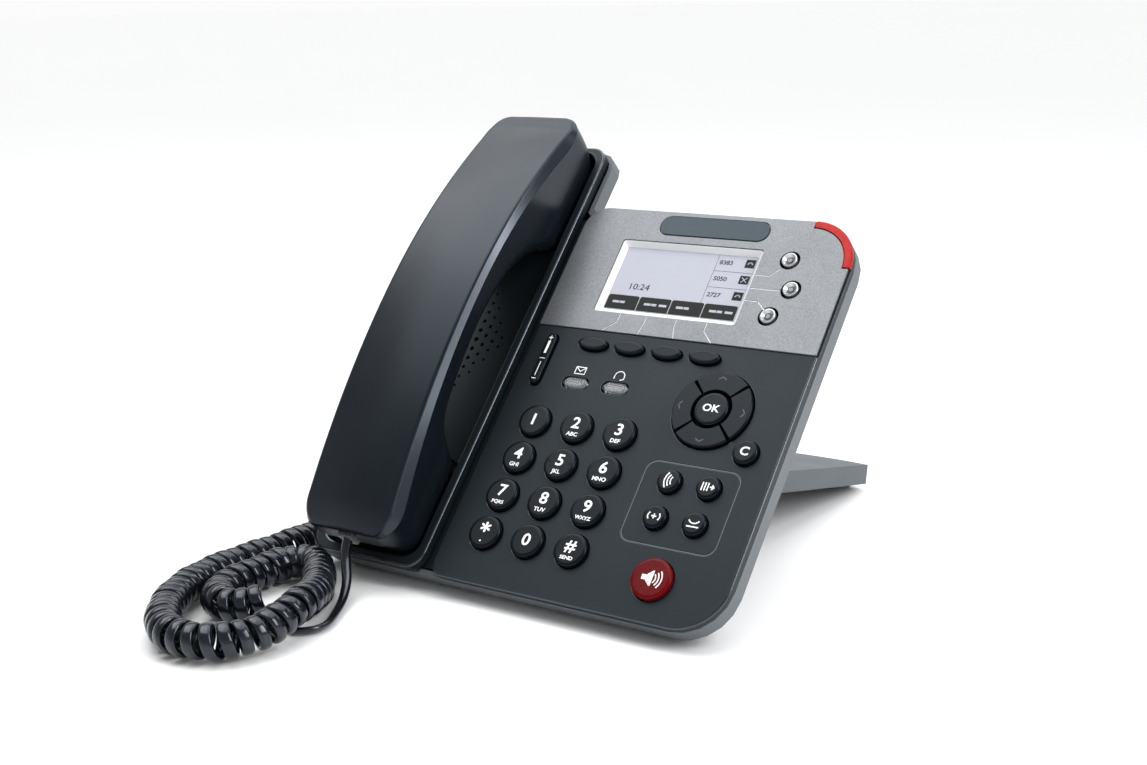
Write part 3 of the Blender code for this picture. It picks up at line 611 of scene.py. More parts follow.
def helix(route, radius, pitch, steps, start):
    """The line of a coiled cord round a route, and the direction of its width."""
    middle = smooth_route(route, 0.5)
    along = tangents(middle)
    first = start - middle[0]
    side = carried_frames(middle, first)
    path = []
    widths = []
    turned = 0.0
    travelled = 0.0
    step = 2.0 * math.pi / steps
    place = 0.0
    last = len(middle) - 1
    spacing = (middle[1] - middle[0]).length
    while place < last:
        i = int(place)
        share = place - i
        centre = middle[i].lerp(middle[min(i + 1, last)], share)
        axis = along[i].lerp(along[min(i + 1, last)], share).normalized()
        one = side[i].lerp(side[min(i + 1, last)], share).normalized()
        other = axis.cross(one)
        wobble = 0.22 * math.sin(turned * 0.37) + 0.12 * math.sin(turned * 0.83 + 1.0)
        lean = 0.35 * math.sin(turned + 0.6 * math.sin(turned * 0.21))
        reach = radius + 0.25 * math.sin(turned * 0.29 + 0.5)
        spoke = one * math.cos(turned) + other * math.sin(turned)
        reach *= min(0.6 + turned / 6.0, 1.0)
        path.append(centre + spoke * reach + axis * (wobble + lean))
        widths.append(axis)
        turned += step
        uneven = 1.0 + 0.07 * math.sin(travelled * 0.045) + 0.05 * math.sin(travelled * 0.13 + 2.0)
        travelled += pitch * uneven / steps
        place += pitch * uneven / steps / spacing
    return path, widths


def make_cords():
    cord = bpy.context.scene.phone_cord
    lead = smooth_route(LEAD_ROUTE, 1.2)
    sides = carried_frames(lead, (1.0, 0.0, 0.0))
    item = flat_cord("cord_straight_lead", lead, sides, LEAD_WIDE, cord.thick / MM)
    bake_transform(item)
    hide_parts("cord_lead")
    radius = cord.coil_radius / MM - cord.thick / MM / 2
    path, widths = helix(COIL_ROUTE, radius, cord.pitch / MM, TURN_STEPS, Vector(LEAD_ROUTE[-1]))
    tail = smooth_route([path[-1]] + list(TAIL_ROUTE), 1.2)[1:]
    level = Vector((0.0, 1.0, 0.0))
    first = widths[-1]
    for i in range(len(tail)):
        share = min(i / TAIL_EASE, 1.0)
        widths.append(first.lerp(level, share).normalized())
    path = path + tail
    item = flat_cord("cord_coiled", path, widths, cord.wide / MM, cord.thick / MM)
    hand_over(item, "base", "cord", "cord_coil", "cord_tail")


# ---- housing ------------------------------------------------------------------------
def place_in_rows(i, across, first, pitch):
    """Centre of key i of a block of keys that has so many across."""
    return (first[0] + (i % across) * pitch[0], first[1] - (i // across) * pitch[1])


def key_places():
    """Centre and radius of every round hole in the front cover."""
    places = []
    for i in range(12):
        places.append((place_in_rows(i, 3, KEYPAD_FIRST, KEYPAD_PITCH), KEYPAD_RADIUS))
    for i in range(4):
        places.append(((SOFT_FIRST[0] + i * SOFT_PITCH, SOFT_FIRST[1]), SOFT_SIZE))
        places.append((place_in_rows(i, 2, FUNCTION_FIRST, FUNCTION_PITCH), FUNCTION_RADIUS))
    places.append((CLEAR_KEY, CLEAR_RADIUS))
    places.append((SPEAKER_KEY, SPEAKER_RADIUS))
    places.append((NAV_CENTRE, NAV_RADIUS))
    return places


def make_front_cover():
    cover = rounded("panel_cover", PANEL, COVER_LOW, 0.0, PANEL_RADII, 0.9, 10)
    upper = (PANEL[0] - 5.0, PLATE_LOW - 0.3, PANEL[2] + 5.0, PANEL[3] + 5.0)
    cut(cover, [block("upper", upper, -0.9, 2.0)])
    cutters = [rounded("screen_hole", inset_box(SCREEN_OPENING, -1.0), -9.0, 4.0, 1.0, 0.0, 3)]
    for centre, radius in key_places():
        if isinstance(radius, tuple):
            radius = (radius[0] + KEY_GAP, radius[1] + KEY_GAP)
        else:
            radius += KEY_GAP
        cutters.append(drum("hole", centre, radius, -9.0, 4.0))
    for centre in LINE_KEYS:
        cutters.append(drum("hole", centre, 4.6, -9.0, 4.0, 32))
    cutters.append(pill("hole", VOLUME_CENTRE, 2.8, 12.7, -9.0, 4.0))
    for centre in LENSES.values():
        cutters.append(pill("hole", centre, 6.45, 2.95, -9.0, 4.0))
    cut(cover, cutters)
    frame_box = (35.3, 17.7, 77.0, 53.1)
    groove = rounded("groove", frame_box, -0.35, 1.0, 5.0)
    cut(groove, [rounded("island", inset_box(frame_box, 0.7), -2.0, 3.0, 4.4)])
    cut(cover, [groove])
    paint(cover, "housing")
    ease_edges(cover, 0.22, 2, 50.0)
    polish(cover, -1.0, 0.0)
    line = rounded("line", inset_box(frame_box, 0.15), -0.6, -0.12, 4.9)
    cut(line, [rounded("island", inset_box(frame_box, 0.55), -2.0, 3.0, 4.5)])
    join(cover, [paint(line, "wall")])
    smooth(settle(cover))
    hand_over(cover, "base", "housing", "front_cover")
    return cover


def keep_corner(item, centre, margin):
    """Cuts away all but the part that is high and right of a centre, and a margin more."""
    u, v = centre
    cut(item, [block("left", (u - 40.0, v - 40.0, u - margin, v + 40.0), -6.0, 6.0)])
    cut(item, [block("low", (u - 41.0, v - 41.0, u + 41.0, v - margin), -6.0, 6.0)])


def make_faceplate():
    box = (PANEL[0] + 0.2, PLATE_LOW, PANEL[2] - 0.8, PANEL[3] - 0.2)
    plate = rounded("upper_plate", box, -0.6, 0.6, (0.6, 0.6, 20.5, 10.0), 0.25, 10)
    centre = (PANEL[2] - CORNER, PANEL[3] - CORNER)
    strip = drum("strip", centre, CORNER + 5.0, -3.0, 3.0, 96)
    cut(strip, [drum("core", centre, CORNER - LAMP_WIDE - 0.3, -5.0, 5.0, 96)])
    keep_corner(strip, centre, 0.6)
    cut(plate, [strip])
    cutters = [rounded("window", SCREEN_OPENING, -3.0, 3.0, 1.2, 0.0, 4)]
    cutters.append(rounded("seat", inset_box(BADGE, -0.3), -0.1, 3.0, 4.6, 0.0, 6))
    for place in LINE_KEYS:
        cutters.append(drum("hole", place, 4.3, -3.0, 3.0))
    cut(plate, cutters)
    ease_edges(plate, 0.3, 2, 50.0)
    lines = (
        ((49.2, 139.9), (55.9, 140.0), (59.4, 144.0)),
        ((49.2, 133.6), (62.7, 133.6)),
        ((49.2, 127.7), (55.0, 127.7), (58.9, 124.2)),
        ((-4.2, 115.4), (-4.4, 111.2), (-9.8, 106.6)),
        ((8.6, 115.4), (8.4, 111.9), (7.4, 106.6)),
        ((22.6, 115.4), (22.8, 111.4), (24.3, 106.6)),
        ((36.8, 115.4), (36.7, 111.5), (41.7, 106.6)),
    )
    for points in lines:
        cut(plate, [stroke(points, 0.5, 0.35, 1.0)], crossing=True)
    paint(plate, "silver")
    smooth(settle(plate))
    hand_over(plate, "base", "silver", "faceplate")
    traces = [stroke(points, 0.42, 0.3, 0.12) for points in lines]
    inlay = paint(join(traces[0], traces[1:]), "bezel")
    hand_over(settle(inlay), "base", "silver")
    inlay.name = "leader_lines"

    badge = rounded("blank_badge", BADGE, 0.2, 0.9, 4.4, 0.2)
    hand_over(smooth(settle(paint(badge, "badge"))), "base", "badge", "name_badge")

    lamp = drum("corner_lamp", centre, CORNER, -0.6, 1.0, 128, 0.9)
    cut(lamp, [drum("core", centre, CORNER - LAMP_WIDE, -5.0, 5.0, 128)])
    keep_corner(lamp, centre, 0.2)
    ease_edges(lamp, 0.2)
    hand_over(smooth(settle(paint(lamp, "red"))), "base", "red", "message_lamp")


def make_screen():
    bezel = rounded("screen_bezel", inset_box(SCREEN_OPENING, 0.15), -3.9, 0.15, 1.1, 0.0, 4)
    edit(bezel, "FACE")
    choose_faces(bezel, lambda middle, normal: normal.z > 0.9 and middle.z > 0.1)
    bpy.ops.mesh.inset(thickness=0.25 * MM)
    bpy.ops.mesh.extrude_region_move(TRANSFORM_OT_translate={"value": (0.0, 0.0, -2.6 * MM)})
    wide = (GLASS[2] - GLASS[0]) / (SCREEN_OPENING[2] - SCREEN_OPENING[0] - 0.8)
    tall = (GLASS[3] - GLASS[1]) / (SCREEN_OPENING[3] - SCREEN_OPENING[1] - 0.8)
    middle = ((SCREEN_OPENING[0] + SCREEN_OPENING[2]) / 2, (SCREEN_OPENING[1] + SCREEN_OPENING[3]) / 2)
    glass_middle = ((GLASS[0] + GLASS[2]) / 2, (GLASS[1] + GLASS[3]) / 2)
    pivot = (middle[0] * MM, middle[1] * MM, -2.45 * MM)
    bpy.ops.transform.resize(value=(wide, tall, 1.0), center_override=pivot)
    aside = ((glass_middle[0] - middle[0]) * MM, (glass_middle[1] - middle[1]) * MM, 0.0)
    bpy.ops.transform.translate(value=aside)
    leave()
    smooth(settle(paint(bezel, "bezel")))
    hand_over(bezel, "base", "silver")

    glass = rounded("display_glass", inset_box(GLASS, 0.1), -2.75, GLASS_LEVEL, 0.4, 0.08, 2)
    paint(glass, "screen")
    level = GLASS_LEVEL
    u0, v0, u1, v1 = GLASS
    label_pitch, label_wide, label_high = 15.45, 15.05, 7.3
    row_pitch, column = 7.95, GLASS[0] + 44.4
    marks = []
    for i in range(4):
        left = u0 + 0.5 + i * label_pitch
        box = (left, v0 + 0.4, left + label_wide, v0 + label_high)
        label = rounded("label", box, level - 0.1, level + 0.06, (0.3, 0.3, 0.9, 0.9), 0.0, 3)
        marks.append(paint(label, "screen_dark"))
        for j, long in enumerate((2.6, 1.7, 2.9)[: 2 + i % 2]):
            start = left + 3.2 + j * 3.6
            tick = stroke(((start, v0 + 3.9), (start + long, v0 + 3.9)), 1.1, level + 0.06, 0.03)
            marks.append(paint(tick, "screen"))
    dark = "screen_dark"
    marks.append(paint(stroke(((column, v0 + 7.4), (column, v1 - 0.3)), 0.14, level, 0.03), dark))
    for row in range(3):
        base = v0 + 7.4 + row * row_pitch
        if row:
            marks.append(paint(stroke(((column, base), (u1 - 0.3, base)), 0.16, level, 0.03), dark))
        icon = block("icon", (u1 - 5.0, base + 2.6, u1 - 0.6, base + 6.6), level - 0.1, level + 0.05)
        marks.append(paint(icon, dark))
        if row == 1:
            for start, end in ((3.5, 5.7), (5.7, 3.5)):
                points = ((u1 - 4.0, base + start), (u1 - 1.6, base + end))
                marks.append(paint(stroke(points, 0.35, level + 0.05, 0.03), "screen"))
        else:
            bow = arc((u1 - 2.8, base + 4.0), 1.1, 20, 160, 6)
            marks.append(paint(stroke(bow, 0.55, level + 0.05, 0.03), "screen"))
        for j in range(4):
            left = column + 1.6 + j * 1.55
            digit = lettering(str((row * 3 + j * 5 + 2) % 10), (left + 0.4, base + 4.2), 2.9, level, 0.03)
            marks.append(paint(digit, dark))
    marks.append(paint(lettering("10:24", (u0 + 13.0, v0 + 11.8), 4.2, level, 0.0), dark))
    join(glass, marks)
    hand_over(settle(glass), "base", "screen", "lcd_window", "lcd_panel")


def make_cradle():
    u0, v0, u1, v1 = CRADLE
    tray = rounded("cradle_shell", CRADLE, COVER_LOW, 1.0, 8.0, 0.9)
    lower_box = inset_box(CRADLE, 3.0)
    pocket_box = (u0 + 4.4, v0 + 4.5, u1 - 4.4, v1 - 3.5)
    cut(tray, [rounded("through", pocket_box, -8.0, 6.0, 7.0)])
    low_u, low_v, high_u, high_v = inset_box(pocket_box, -0.05)
    edit(tray)

    def mouth(a, b):
        return all(p.z > 0.95 and low_u < p.x < high_u and low_v < p.y < high_v for p in (a, b))

    choose_edges(tray, mouth)
    bpy.ops.mesh.bevel(offset=1.1 * MM, segments=3, affect="EDGES")
    leave()
    floor = rounded("cradle_floor", lower_box, -9.3, -2.7, 5.0)
    cut(floor, [rounded("pocket", (u0 + 4.2, v0 - 9.0, u1 - 4.2, v1 - 4.2), -6.0, 6.0, 5.0)])
    wells = [rounded("mouth", (-98.5, -8.0, -51.5, 40.5), -8.0, -5.0, 9.0)]
    wells.append(rounded("ear", (-98.5, 146.0, -51.5, 195.5), -8.0, -5.0, 9.0))
    cut(floor, wells)
    holes = [rounded("hook_hole", (-79.4, 158.6, -70.6, 165.4), -20.0, 4.0, 0.5, 0.0, 2)]
    spacing = 5.5
    for row in range(-5, 6):
        for column in range(-4, 5):
            u = column * spacing * 0.78
            v = row * spacing * 0.86 + (column % 2) * spacing * 0.43
            reach = abs(u) / 15.5 + abs(v) / 24.0
            if reach > 1.02:
                continue
            centre = (GRILLE_CENTRE[0] + u, GRILLE_CENTRE[1] + v)
            holes.append(drum("grille", centre, 1.15 - 0.5 * reach, -20.0, 4.0, 14))
    cut(floor, holes)
    ease_edges(floor, 0.3, 2, 50.0)
    lip = rounded("front_wall", (u0 + 2.0, v0 + 0.6, u1 - 2.0, v0 + 4.4), -9.3, -1.0, 1.2, 0.0, 4)
    ledge = block("ledge", (u1 - 3.2, -9.0, PANEL[0] + 0.6, 163.0), -5.6, -3.7)
    ease_edges(tray, 0.25, 2, 50.0)
    for part in (tray, floor, lip, ledge):
        paint(part, "housing")
    polish(tray, -0.5, 1.0)
    join(tray, [floor, lip, ledge])
    smooth(settle(tray))
    hand_over(tray, "base", "housing", "cradle_tray")


def make_shell():
    wall = refined("rear_housing", "rear_shell", 0.5, 3)
    slots = []
    for row in range(8):
        for middle in (-64.0, -34.0):
            slots.append(settle(pill("vent", (middle, 30.0 + row * 4.8), 12.0, 1.0, -34.0, -26.5)))
    cut(wall, slots)
    paint(wall, "wall")
    plate = rounded("blank_plate", (-78.0, 92.0, -34.0, 116.0), -30.3, -29.8, 2.0, 0.0, 6)
    fittings = [paint(plate, "silver")]
    for place in ((-74.0, 18.0), (60.0, 18.0), (-74.0, 138.0), (64.0, 138.0)):
        head = drum("screw", place, 2.9, SCREW_LEVEL, -29.4, 32)
        soften(head, SCREW_LEVEL, 0.5)
        u, v = place
        tools = [block("slot", (u - 1.9, v - 0.35, u + 1.9, v + 0.35), -31.0, -30.1)]
        tools.append(block("slot", (u - 0.35, v - 1.9, u + 0.35, v + 1.9), -31.0, -30.1))
        cut(head, tools, crossing=True)
        collar = drum("collar", place, 4.2, -30.25, -29.6, 40)
        cut(collar, [drum("hole", place, 3.1, -33.0, -27.0, 40)])
        fittings += [paint(head, "metal"), paint(collar, "housing")]
    fittings = [settle(item) for item in fittings]
    join(wall, fittings)
    smooth(wall)
    hand_over(wall, "base", "wall", "rear_housing")
    stand = refined("stand", "rear_stand", 0.6, 3)
    paint(stand, "stand")
    hand_over(stand, "stand_body", "wall", "stand")
    for node, name, finish, body, slot in (
        ("foot_left", "left_foot", "rubber", "base", "rubber"),
        ("foot_right", "right_foot", "rubber", "base", "rubber"),
        ("stand_pad", "stand_tip_pad", "rubber", "stand_body", "rubber"),
        ("port_block", "ports", "housing", "base", "metal"),
        ("hook_switch", "hook_button", "key", "hook_switch_body", "key"),
    ):
        hand_over(paint(refined(node, name, 0.15), finish), body, slot, node)
    for node, finish in (
        ("main_board", "board"), ("key_mat", "rubber"), ("loudspeaker", "metal"), ("earpiece", "metal"),
        ("handset_microphone", "metal"), ("handset_weight", "metal"), ("handset_plug", "clear"),
        ("base_plug", "clear"),
    ):
        paint(NODES[node], finish)


# ---- keys ---------------------------------------------------------------------------
def key_cap(name, radius, top=KEY_TOP, finish="key"):
    """A round cap with a rolled edge and a faint dish, at the origin."""
    cap = drum(name, (0.0, 0.0), radius, KEY_FOOT, top, 56, 0.9, 5)
    edit(cap, "FACE")
    choose_faces(cap, lambda middle, normal: normal.z > 0.9 and middle.z > top - 0.05)
    bpy.ops.mesh.inset(thickness=0.7 * MM)
    bpy.ops.transform.translate(value=(0.0, 0.0, -KEY_DISH * MM))
    leave()
    return paint(cap, finish)


def place_key(cap, marks, centre, node, slot="key"):
    """Joins a key's marks, puts it on the panel and hands it over."""
    join(cap, marks)
    shift(cap, *centre)
    smooth(settle(cap))
    hand_over(cap, node + "_body", slot, node)


def make_number_keys():
    for i, (label, (figure, letters)) in enumerate(LEGENDS.items()):
        centre = place_in_rows(i, 3, KEYPAD_FIRST, KEYPAD_PITCH)
        cap = key_cap("dial_key_" + label, KEYPAD_RADIUS)
        level = KEY_TOP - KEY_DISH
        if label == "star":
            marks = [paint(lettering(figure, (0.0, 0.0), 9.5, level, 0.16), "legend")]
            marks.append(paint(drum("dot", (0.0, -4.1), 0.38, level - 0.1, level + 0.06, 14), "legend"))
        else:
            marks = [paint(lettering(figure, (0.0, 1.2 if letters else 0.0), 7.0, level, 0.12), "legend")]
        if label != "star" and letters:
            size = 2.1 if len(letters) > 3 else 2.4
            marks.append(paint(lettering(letters, (0.0, -3.7), size, level, 0.05), "legend"))
        if label == "5":
            for side in (-5.0, 5.0):
                pip = drum("pip", (side, 0.6), 0.35, level - 0.1, level + 0.35, 12, 0.15)
                marks.append(paint(pip, "key"))
        place_key(cap, marks, centre, "key_" + label)


def make_soft_keys():
    for i in range(4):
        cap = key_cap("screen_key_" + str(i + 1), SOFT_SIZE, 2.0)
        place_key(cap, [], (SOFT_FIRST[0] + i * SOFT_PITCH, SOFT_FIRST[1]), "soft_key_" + str(i + 1))


def make_line_keys():
    for i, centre in enumerate(LINE_KEYS):
        cap = drum("line_button_" + str(i + 1), (0.0, 0.0), 3.3, KEY_FOOT, 1.5, 40, 0.4)
        edit(cap, "FACE")
        choose_faces(cap, lambda middle, normal: normal.z > 0.9 and middle.z > 1.45)
        bpy.ops.mesh.inset(thickness=0.35 * MM)
        bpy.ops.mesh.extrude_region_move(TRANSFORM_OT_translate={"value": (0.0, 0.0, -1.3 * MM)})
        bpy.ops.transform.resize(value=(0.6, 0.6, 1.0), center_override=(0.0, 0.0, 0.2 * MM))
        leave()
        paint(cap, "metal")
        ring = paint(drum("ring", (0.0, 0.0), 1.75, 0.0, 0.32, 32, 0.1), "wall")
        eye = paint(drum("eye", (0.0, 0.0), 1.15, 0.0, 0.75, 24, 0.3), "silver")
        place_key(cap, [ring, eye], centre, "line_key_" + str(i + 1), "clear")


def make_arrow_keys():
    inner, outer, span = 8.6, 16.8, 85.0
    for name, middle in (("right", 0.0), ("up", 90.0), ("left", 180.0), ("down", 270.0)):
        key = drum("arrow_" + name, (0.0, 0.0), outer, KEY_FOOT, 1.7, 120, 0.7, 4)
        cut(key, [drum("core", (0.0, 0.0), inner, -9.0, 9.0, 96)])
        turn = math.radians(middle)
        for side in (-1.0, 1.0):
            edge = turn + side * math.radians(span / 2)
            wedge = block("wedge", (-30.0, -30.0, 30.0, 0.0), -8.0, 8.0)
            pick(wedge)
            wedge.rotation_euler = (0.0, 0.0, edge if side < 0.0 else edge + math.pi)
            cut(key, [set_down(wedge)])
        ease_edges(key, 0.35, 3, 50.0)
        paint(key, "key")
        reach = 13.4
        chevron = []
        for ahead, aside in ((0.0, -1.6), (1.1, 0.0), (0.0, 1.6)):
            u = (reach + ahead) * math.cos(turn) - aside * math.sin(turn)
            chevron.append((u, (reach + ahead) * math.sin(turn) + aside * math.cos(turn)))
        mark = stroke(chevron, 0.45, 1.68)
        place_key(key, [paint(mark, "mark")], NAV_CENTRE, "arrow_key_" + name)
    cap = key_cap("centre_key", 7.2)
    words = paint(lettering("OK", (0.0, 0.0), 4.4, KEY_TOP - KEY_DISH, 0.08), "legend")
    place_key(cap, [words], NAV_CENTRE, "ok_key")


def make_function_keys():
    level = KEY_TOP - KEY_DISH
    cap = key_cap("cancel_key", CLEAR_RADIUS)
    place_key(cap, [paint(lettering("C", (0.0, 0.0), 5.0, level, 0.1), "legend")], CLEAR_KEY, "clear_key")
    signs = {
        "conference": [arc((3.4, 0.0), 2.0 + step, 142, 218, 5) for step in (0.4, 1.7, 3.0)],
        "redial": [((-2.2, -1.6), (-2.2, 1.6)), ((-1.0, -1.6), (-1.0, 1.6)), ((0.2, -1.6), (0.2, 1.6)),
                   ((1.2, 0.0), (2.8, 0.0)), ((2.0, 0.8), (2.8, 0.0), (2.0, -0.8))],
        "transfer": [arc((-0.6, 0.0), 2.0, 140, 220, 4), ((-0.9, 0.0), (0.9, 0.0)), ((0.0, 0.9), (0.0, -0.9)),
                     arc((0.6, 0.0), 2.0, -40, 40, 4)],
        "hold": [arc((0.0, 2.6), 2.6, 215, 325, 7), ((-2.4, -1.4), (2.4, -1.4))],
    }
    for i, (name, lines) in enumerate(signs.items()):
        centre = place_in_rows(i, 2, FUNCTION_FIRST, FUNCTION_PITCH)
        cap = key_cap("service_key_" + name, FUNCTION_RADIUS)
        marks = [paint(stroke(points, 0.5, level), "legend") for points in lines]
        place_key(cap, marks, centre, "function_key_" + name)
    cap = key_cap("loudspeaker_key", SPEAKER_RADIUS, finish="dark_red")
    horn = stroke(((-3.2, 0.0), (-1.6, 0.0)), 2.0, level)
    cone = stroke(((-1.4, -1.2), (0.4, -2.8), (0.4, 2.8), (-1.4, 1.2)), 0.7, level)
    fill = stroke(((-0.9, -1.2), (-0.3, -2.0), (-0.3, 2.0), (-0.9, 1.2), (-0.9, -1.2)), 0.9, level)
    waves = [stroke(arc((-0.6, 0.0), reach, -38, 38, 6), 0.5, level) for reach in (2.6, 3.9, 5.2)]
    marks = [paint(mark, "legend") for mark in [horn, cone, fill] + waves]
    place_key(cap, marks, SPEAKER_KEY, "speaker_key", "red")


def make_volume_rocker():
    rocker = pill("volume_bar", (0.0, 0.0), 2.3, 12.2, -4.4, 1.8, 0.6)
    paint(rocker, "key")
    level = 1.78
    marks = [
        stroke(((-0.9, 9.9), (0.9, 9.9)), 0.35, level),
        stroke(((0.0, 9.0), (0.0, 10.8)), 0.35, level),
        stroke(((0.0, 8.0), (0.0, 2.6)), 1.1, level),
        stroke(((-1.2, -0.2), (1.2, -0.2)), 0.3, level),
        stroke(((0.0, -2.0), (0.0, -8.6)), 0.35, level),
        stroke(((-0.9, -10.0), (0.9, -10.0)), 0.35, level),
    ]
    join(rocker, [paint(mark, "legend") for mark in marks])
    shift(rocker, *VOLUME_CENTRE)
    hand_over(smooth(settle(rocker)), "volume_body", "key", "volume_rocker")


def make_lenses():
    for node, centre in LENSES.items():
        u, v = centre
        lens = rounded(node + "_window", (u - 6.1, v - 2.6, u + 6.1, v + 2.6), -3.2, 0.9, 2.2, 0.0, 1)
        soften(lens, 0.9, 1.1, 1)
        paint(lens, "clear")
        core = pill("light_pipe", centre, 4.4, 1.1, -2.6, -0.9, 0.4)
        join(lens, [paint(core, "silver")])
        hand_over(smooth(settle(lens), 20.0), "base", "clear", node)
    u, v = LENSES["mail_lens"]
    level = -0.01
    left, right, low, high = u - 2.4, u + 2.4, v + 4.4, v + 7.6
    mail = [((left, low), (right, low), (right, high), (left, high), (left, low)),
            ((left, high), (u, v + 5.6), (right, high))]
    u, v = LENSES["headset_lens"]
    head = [arc((u, v + 5.6), 2.3, 0, 180, 9), ((u - 2.3, v + 5.6), (u - 2.3, v + 4.4)),
            ((u + 2.3, v + 5.6), (u + 2.3, v + 4.4), (u + 0.8, v + 3.9))]
    marks = [paint(stroke(points, 0.36, level, 0.05), "legend") for points in mail + head]
    icons = join(marks[0], marks[1:])
    icons.name = "printed_icons"
    hand_over(settle(icons), "base", "housing")


# ---- handset --------------------------------------------------------------------------
def end_round(v):
    nearest = min(v - HANDSET_LOW, HANDSET_HIGH - v)
    share = max(0.0, 1.0 - max(nearest, 0.0) / HANDSET_END)
    return math.sqrt(max(0.0, 1.0 - share * share))


def handset_half(v):
    base = 24.0 + 0.5 * ((v - HANDSET_MIDDLE) / 95.0) ** 2
    return base - 9.0 * (1.0 - end_round(v))


def handset_back(v):
    radius = 405.0 if v < HANDSET_MIDDLE else 290.0
    return 35.6 - (v - HANDSET_MIDDLE) ** 2 / (2.0 * radius)


def handset_parting(v):
    v = min(max(v, 4.0), 184.0)
    return handset_back(v) - 2.8 - 2.7 * ((v - HANDSET_MIDDLE) / 90.0) ** 2


def back_ring(v):
    """Half width, lowest and highest level of the handset's outer shell at v."""
    low = handset_parting(v)
    rise = max(handset_back(v) - low, 2.0)
    return handset_half(v), low, low + rise * (0.25 + 0.75 * end_round(v))


INNER_PROFILE = (
    (-8.7, 9.0), (-6.5, 2.0), (-2.0, -5.6), (4.0, -7.7), (31.0, -7.7), (36.5, -4.0), (41.0, 6.0),
    (47.0, 13.5), (60.0, 17.6), (80.0, 20.2), (95.0, 20.6), (112.0, 18.6), (125.0, 14.6),
    (136.0, 8.0), (144.0, -2.0), (150.0, -7.7), (184.0, -7.7), (191.0, -5.0),
    (195.6, 2.5), (199.5, 10.0),
)


def inner_low(v):
    """The lowest line of the inner shell at v, eased between the profile's points."""
    points = INNER_PROFILE
    for k in range(len(points) - 1):
        (v0, n0), (v1, n1) = points[k], points[k + 1]
        if v <= v1:
            before = points[max(k - 1, 0)]
            after = points[min(k + 2, len(points) - 1)]
            slope0 = (n1 - before[1]) / (v1 - before[0])
            slope1 = (after[1] - n0) / (after[0] - v0)
            if abs(n0 - n1) < 0.01:
                return n0
            t = (v - v0) / (v1 - v0)
            if abs(before[1] - n0) < 0.01:
                slope0 = 0.0
            if abs(after[1] - n1) < 0.01:
                slope1 = 0.0
            gap = v1 - v0
            return ((2 * t ** 3 - 3 * t ** 2 + 1) * n0 + (t ** 3 - 2 * t ** 2 + t) * gap * slope0
                    + (3 * t ** 2 - 2 * t ** 3) * n1 + (t ** 3 - t ** 2) * gap * slope1)
    return points[-1][1]


def inner_ring(v):
    return handset_half(v) - 0.15, inner_low(v), handset_parting(v) - 0.3


def handset_stations(low, high):
    """Places along the handset, close together at its ends."""
    end_steps, count = 9, 64
    ends = [HANDSET_END * (1.0 - math.cos(math.radians(90.0 * i / end_steps))) for i in range(end_steps)]
    long = high - low - 2 * HANDSET_END
    middle = [low + HANDSET_END + long * i / count for i in range(count + 1)]
    return [low + end for end in ends] + middle + [high - end for end in reversed(ends)]


def drawn_out(name, ring_at, stations, shape_first):
    """A body drawn through its stations: one upright section, extruded and resized."""
    half, low, high = ring_at(60.0)
    deselect()
    bpy.ops.mesh.primitive_plane_add(
        size=1.0,
        location=(HANDSET_U * MM, 60.0 * MM, (low + high) / 2 * MM),
        rotation=(math.radians(90.0), 0.0, 0.0),
    )
    item = bpy.context.object
    item.scale = (2.0 * half * MM, (high - low) * MM, 1.0)
    item = fresh(name)
    shape_first(item, (half, low, high))
    edit(item, "FACE")
    bpy.ops.mesh.select_all(action="SELECT")
    now = (60.0, half, low, high)
    for i, v in enumerate(stations):
        half, low, high = ring_at(v)
        move = (0.0, (v - now[0]) * MM, (low - now[2]) * MM)
        if i:
            bpy.ops.mesh.extrude_region_move(TRANSFORM_OT_translate={"value": move})
        else:
            bpy.ops.transform.translate(value=move)
        bpy.ops.transform.resize(
            value=(half / now[1], 1.0, (high - low) / (now[3] - now[2])),
            center_override=(HANDSET_U * MM, v * MM, low * MM),
        )
        now = (v, half, low, high)
    leave()
    return face_out(item)


def choose_points(item, test):
    edit(item, "VERT")
    build = bmesh.from_edit_mesh(item.data)
    for vert in build.verts:
        if test(vert.co / MM):
            vert.select_set(True)
    bmesh.update_edit_mesh(item.data)


def shape_back(item, ring):
    """Leans the sides in, rounds the top corners and crowns the top."""
    half, _, high = ring
    choose_points(item, lambda point: abs(point.z - high) < 0.02)
    middle = (HANDSET_U * MM, 0.0, 0.0)
    bpy.ops.transform.resize(value=((half - 2.4) / half, 1.0, 1.0), center_override=middle)
    bpy.ops.mesh.bevel(offset=1.1 * MM, segments=4, affect="VERTICES")
    leave()
    edit(item)
    choose_edges(item, lambda a, b: abs(a.z - high) < 0.02 and abs(b.z - high) < 0.02)
    bpy.ops.mesh.subdivide(number_cuts=7)
    leave()
    for reach, lift in ((0.72, 0.28), (0.5, 0.28), (0.3, 0.24), (0.05, 0.1)):
        wide = half * reach + 0.5
        choose_points(item, lambda point: point.z > high - 0.02 and abs(point.x - HANDSET_U) < wide)
        bpy.ops.transform.translate(value=(0.0, 0.0, lift * MM))
        leave()


def shape_inner(item, ring):
    """Leans the sides in and rounds the lower corners."""
    half, low, _ = ring
    choose_points(item, lambda point: abs(point.z - low) < 0.02)
    middle = (HANDSET_U * MM, 0.0, 0.0)
    bpy.ops.transform.resize(value=((half - 1.6) / half, 1.0, 1.0), center_override=middle)
    bpy.ops.mesh.bevel(offset=4.6 * MM, segments=7, affect="VERTICES")
    leave()


